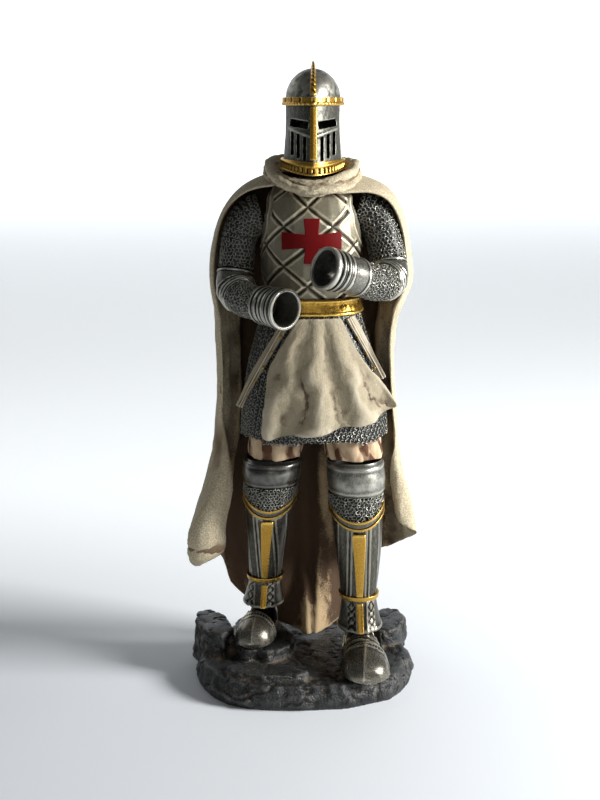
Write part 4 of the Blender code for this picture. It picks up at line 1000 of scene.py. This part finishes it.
# The front edges roll forward and in below the elbows, and a crease crosses the right roll.
points = points_of(cloak)
height = points[:, 2] / MM
girth = np.degrees(np.arctan2(np.abs(points[:, 0]), points[:, 1] + 0.6 * MM))
ROLL_TOP_RIGHT, ROLL_TOP_LEFT = 134.0, 120.0
CREASE_HEIGHT = 69.0
roll_top = np.where(points[:, 0] < 0.0, ROLL_TOP_RIGHT, ROLL_TOP_LEFT)
rolled = np.clip((girth - 76.0) / 6.0, 0.0, 1.0) * np.clip((roll_top - height) / 8.0, 0.0, 1.0)
crease = np.exp(-(((height - CREASE_HEIGHT - 0.25 * points[:, 1] / MM) / 1.7) ** 2))
push_out(cloak, -1.5 * crease * rolled * (points[:, 0] < 0.0))
mark_hollows(cloak, 45, 1.3)
# Painted shade and light on the cloak's inner face: it is painted dark brown where it faces in
# behind the body, and pale where it comes forward into the light, along the rolled front edges and
# the train.
normals = points_of(cloak, "normal")
inward = np.einsum("ij,ij->i", normals[:, :2], points[:, :2] - np.array((0.0, -0.002)))
shade = np.clip((blurred(cloak, np.where(inward < 0.0, 1.0, 0.0), 36) - 0.38) / 0.2, 0.0, 1.0)
ragged = 9.0 * lumps(points, 12.0, 53)
pale = np.clip((girth + ragged - 64.0) / 18.0, 0.0, 1.0) * 0.8
TRAIN_TOP = 40.0
train = np.clip((TRAIN_TOP - height + 0.6 * ragged) / 10.0, 0.0, 1.0)
train *= np.clip((20.0 - np.abs(points[:, 0]) / MM) / 8.0, 0.0, 1.0)
train *= np.clip((12.0 - points[:, 1] / MM) / 5.0, 0.0, 1.0)
pale = np.maximum(np.maximum(pale, train), rolled)
shade *= 1.0 - 0.95 * pale
# The share of painted lining shade at each point.
mark = cloak.data.attributes.new("lining_shade", "FLOAT", "POINT")
mark.data.foreach_set("value", shade.astype(np.float32))

cowl = cast_copy("cloak_cowl", "cloak_cowl_cloth", CLOAK_PAINT.material, levels=3)
points = points_of(cowl)
around = np.arctan2(points[:, 0], -points[:, 1])
# The collar's wraps run round it, and cross over at the front towards the left shoulder.
ahead = np.cos(around)
COWL_HEIGHT, COWL_DIP, COWL_RISE = 251.8, 8.4, 2.0  # at the sides, down in front, up behind
COWL_ACROSS, COWL_DEEP = 19.8, 22.6
roll_z = COWL_HEIGHT - COWL_DIP * np.clip(ahead, 0.0, 1.0) ** 1.25
roll_z = roll_z + COWL_RISE * np.clip(-ahead, 0.0, 1.0)
roll_r = 1.0 / np.hypot(np.sin(around) / COWL_ACROSS, ahead / COWL_DEEP)
turn = np.arctan2(points[:, 2] / MM - roll_z, np.hypot(points[:, 0], points[:, 1]) / MM - roll_r)
wraps = np.cos(3.0 * turn + 2.0 * around + 1.2 * lumps(points, 14.0, 61))
push_out(cowl, 0.85 * wraps + 0.45 * lumps(points, 5.0, 62) + 0.22 * lumps(points, 1.6, 63))
mark_hollows(cowl, 20, 0.5)
# The collar carries no painted lining shade.
mark = cowl.data.attributes.new("lining_shade", "FLOAT", "POINT")
mark.data.foreach_set("value", np.zeros(len(points), np.float32))
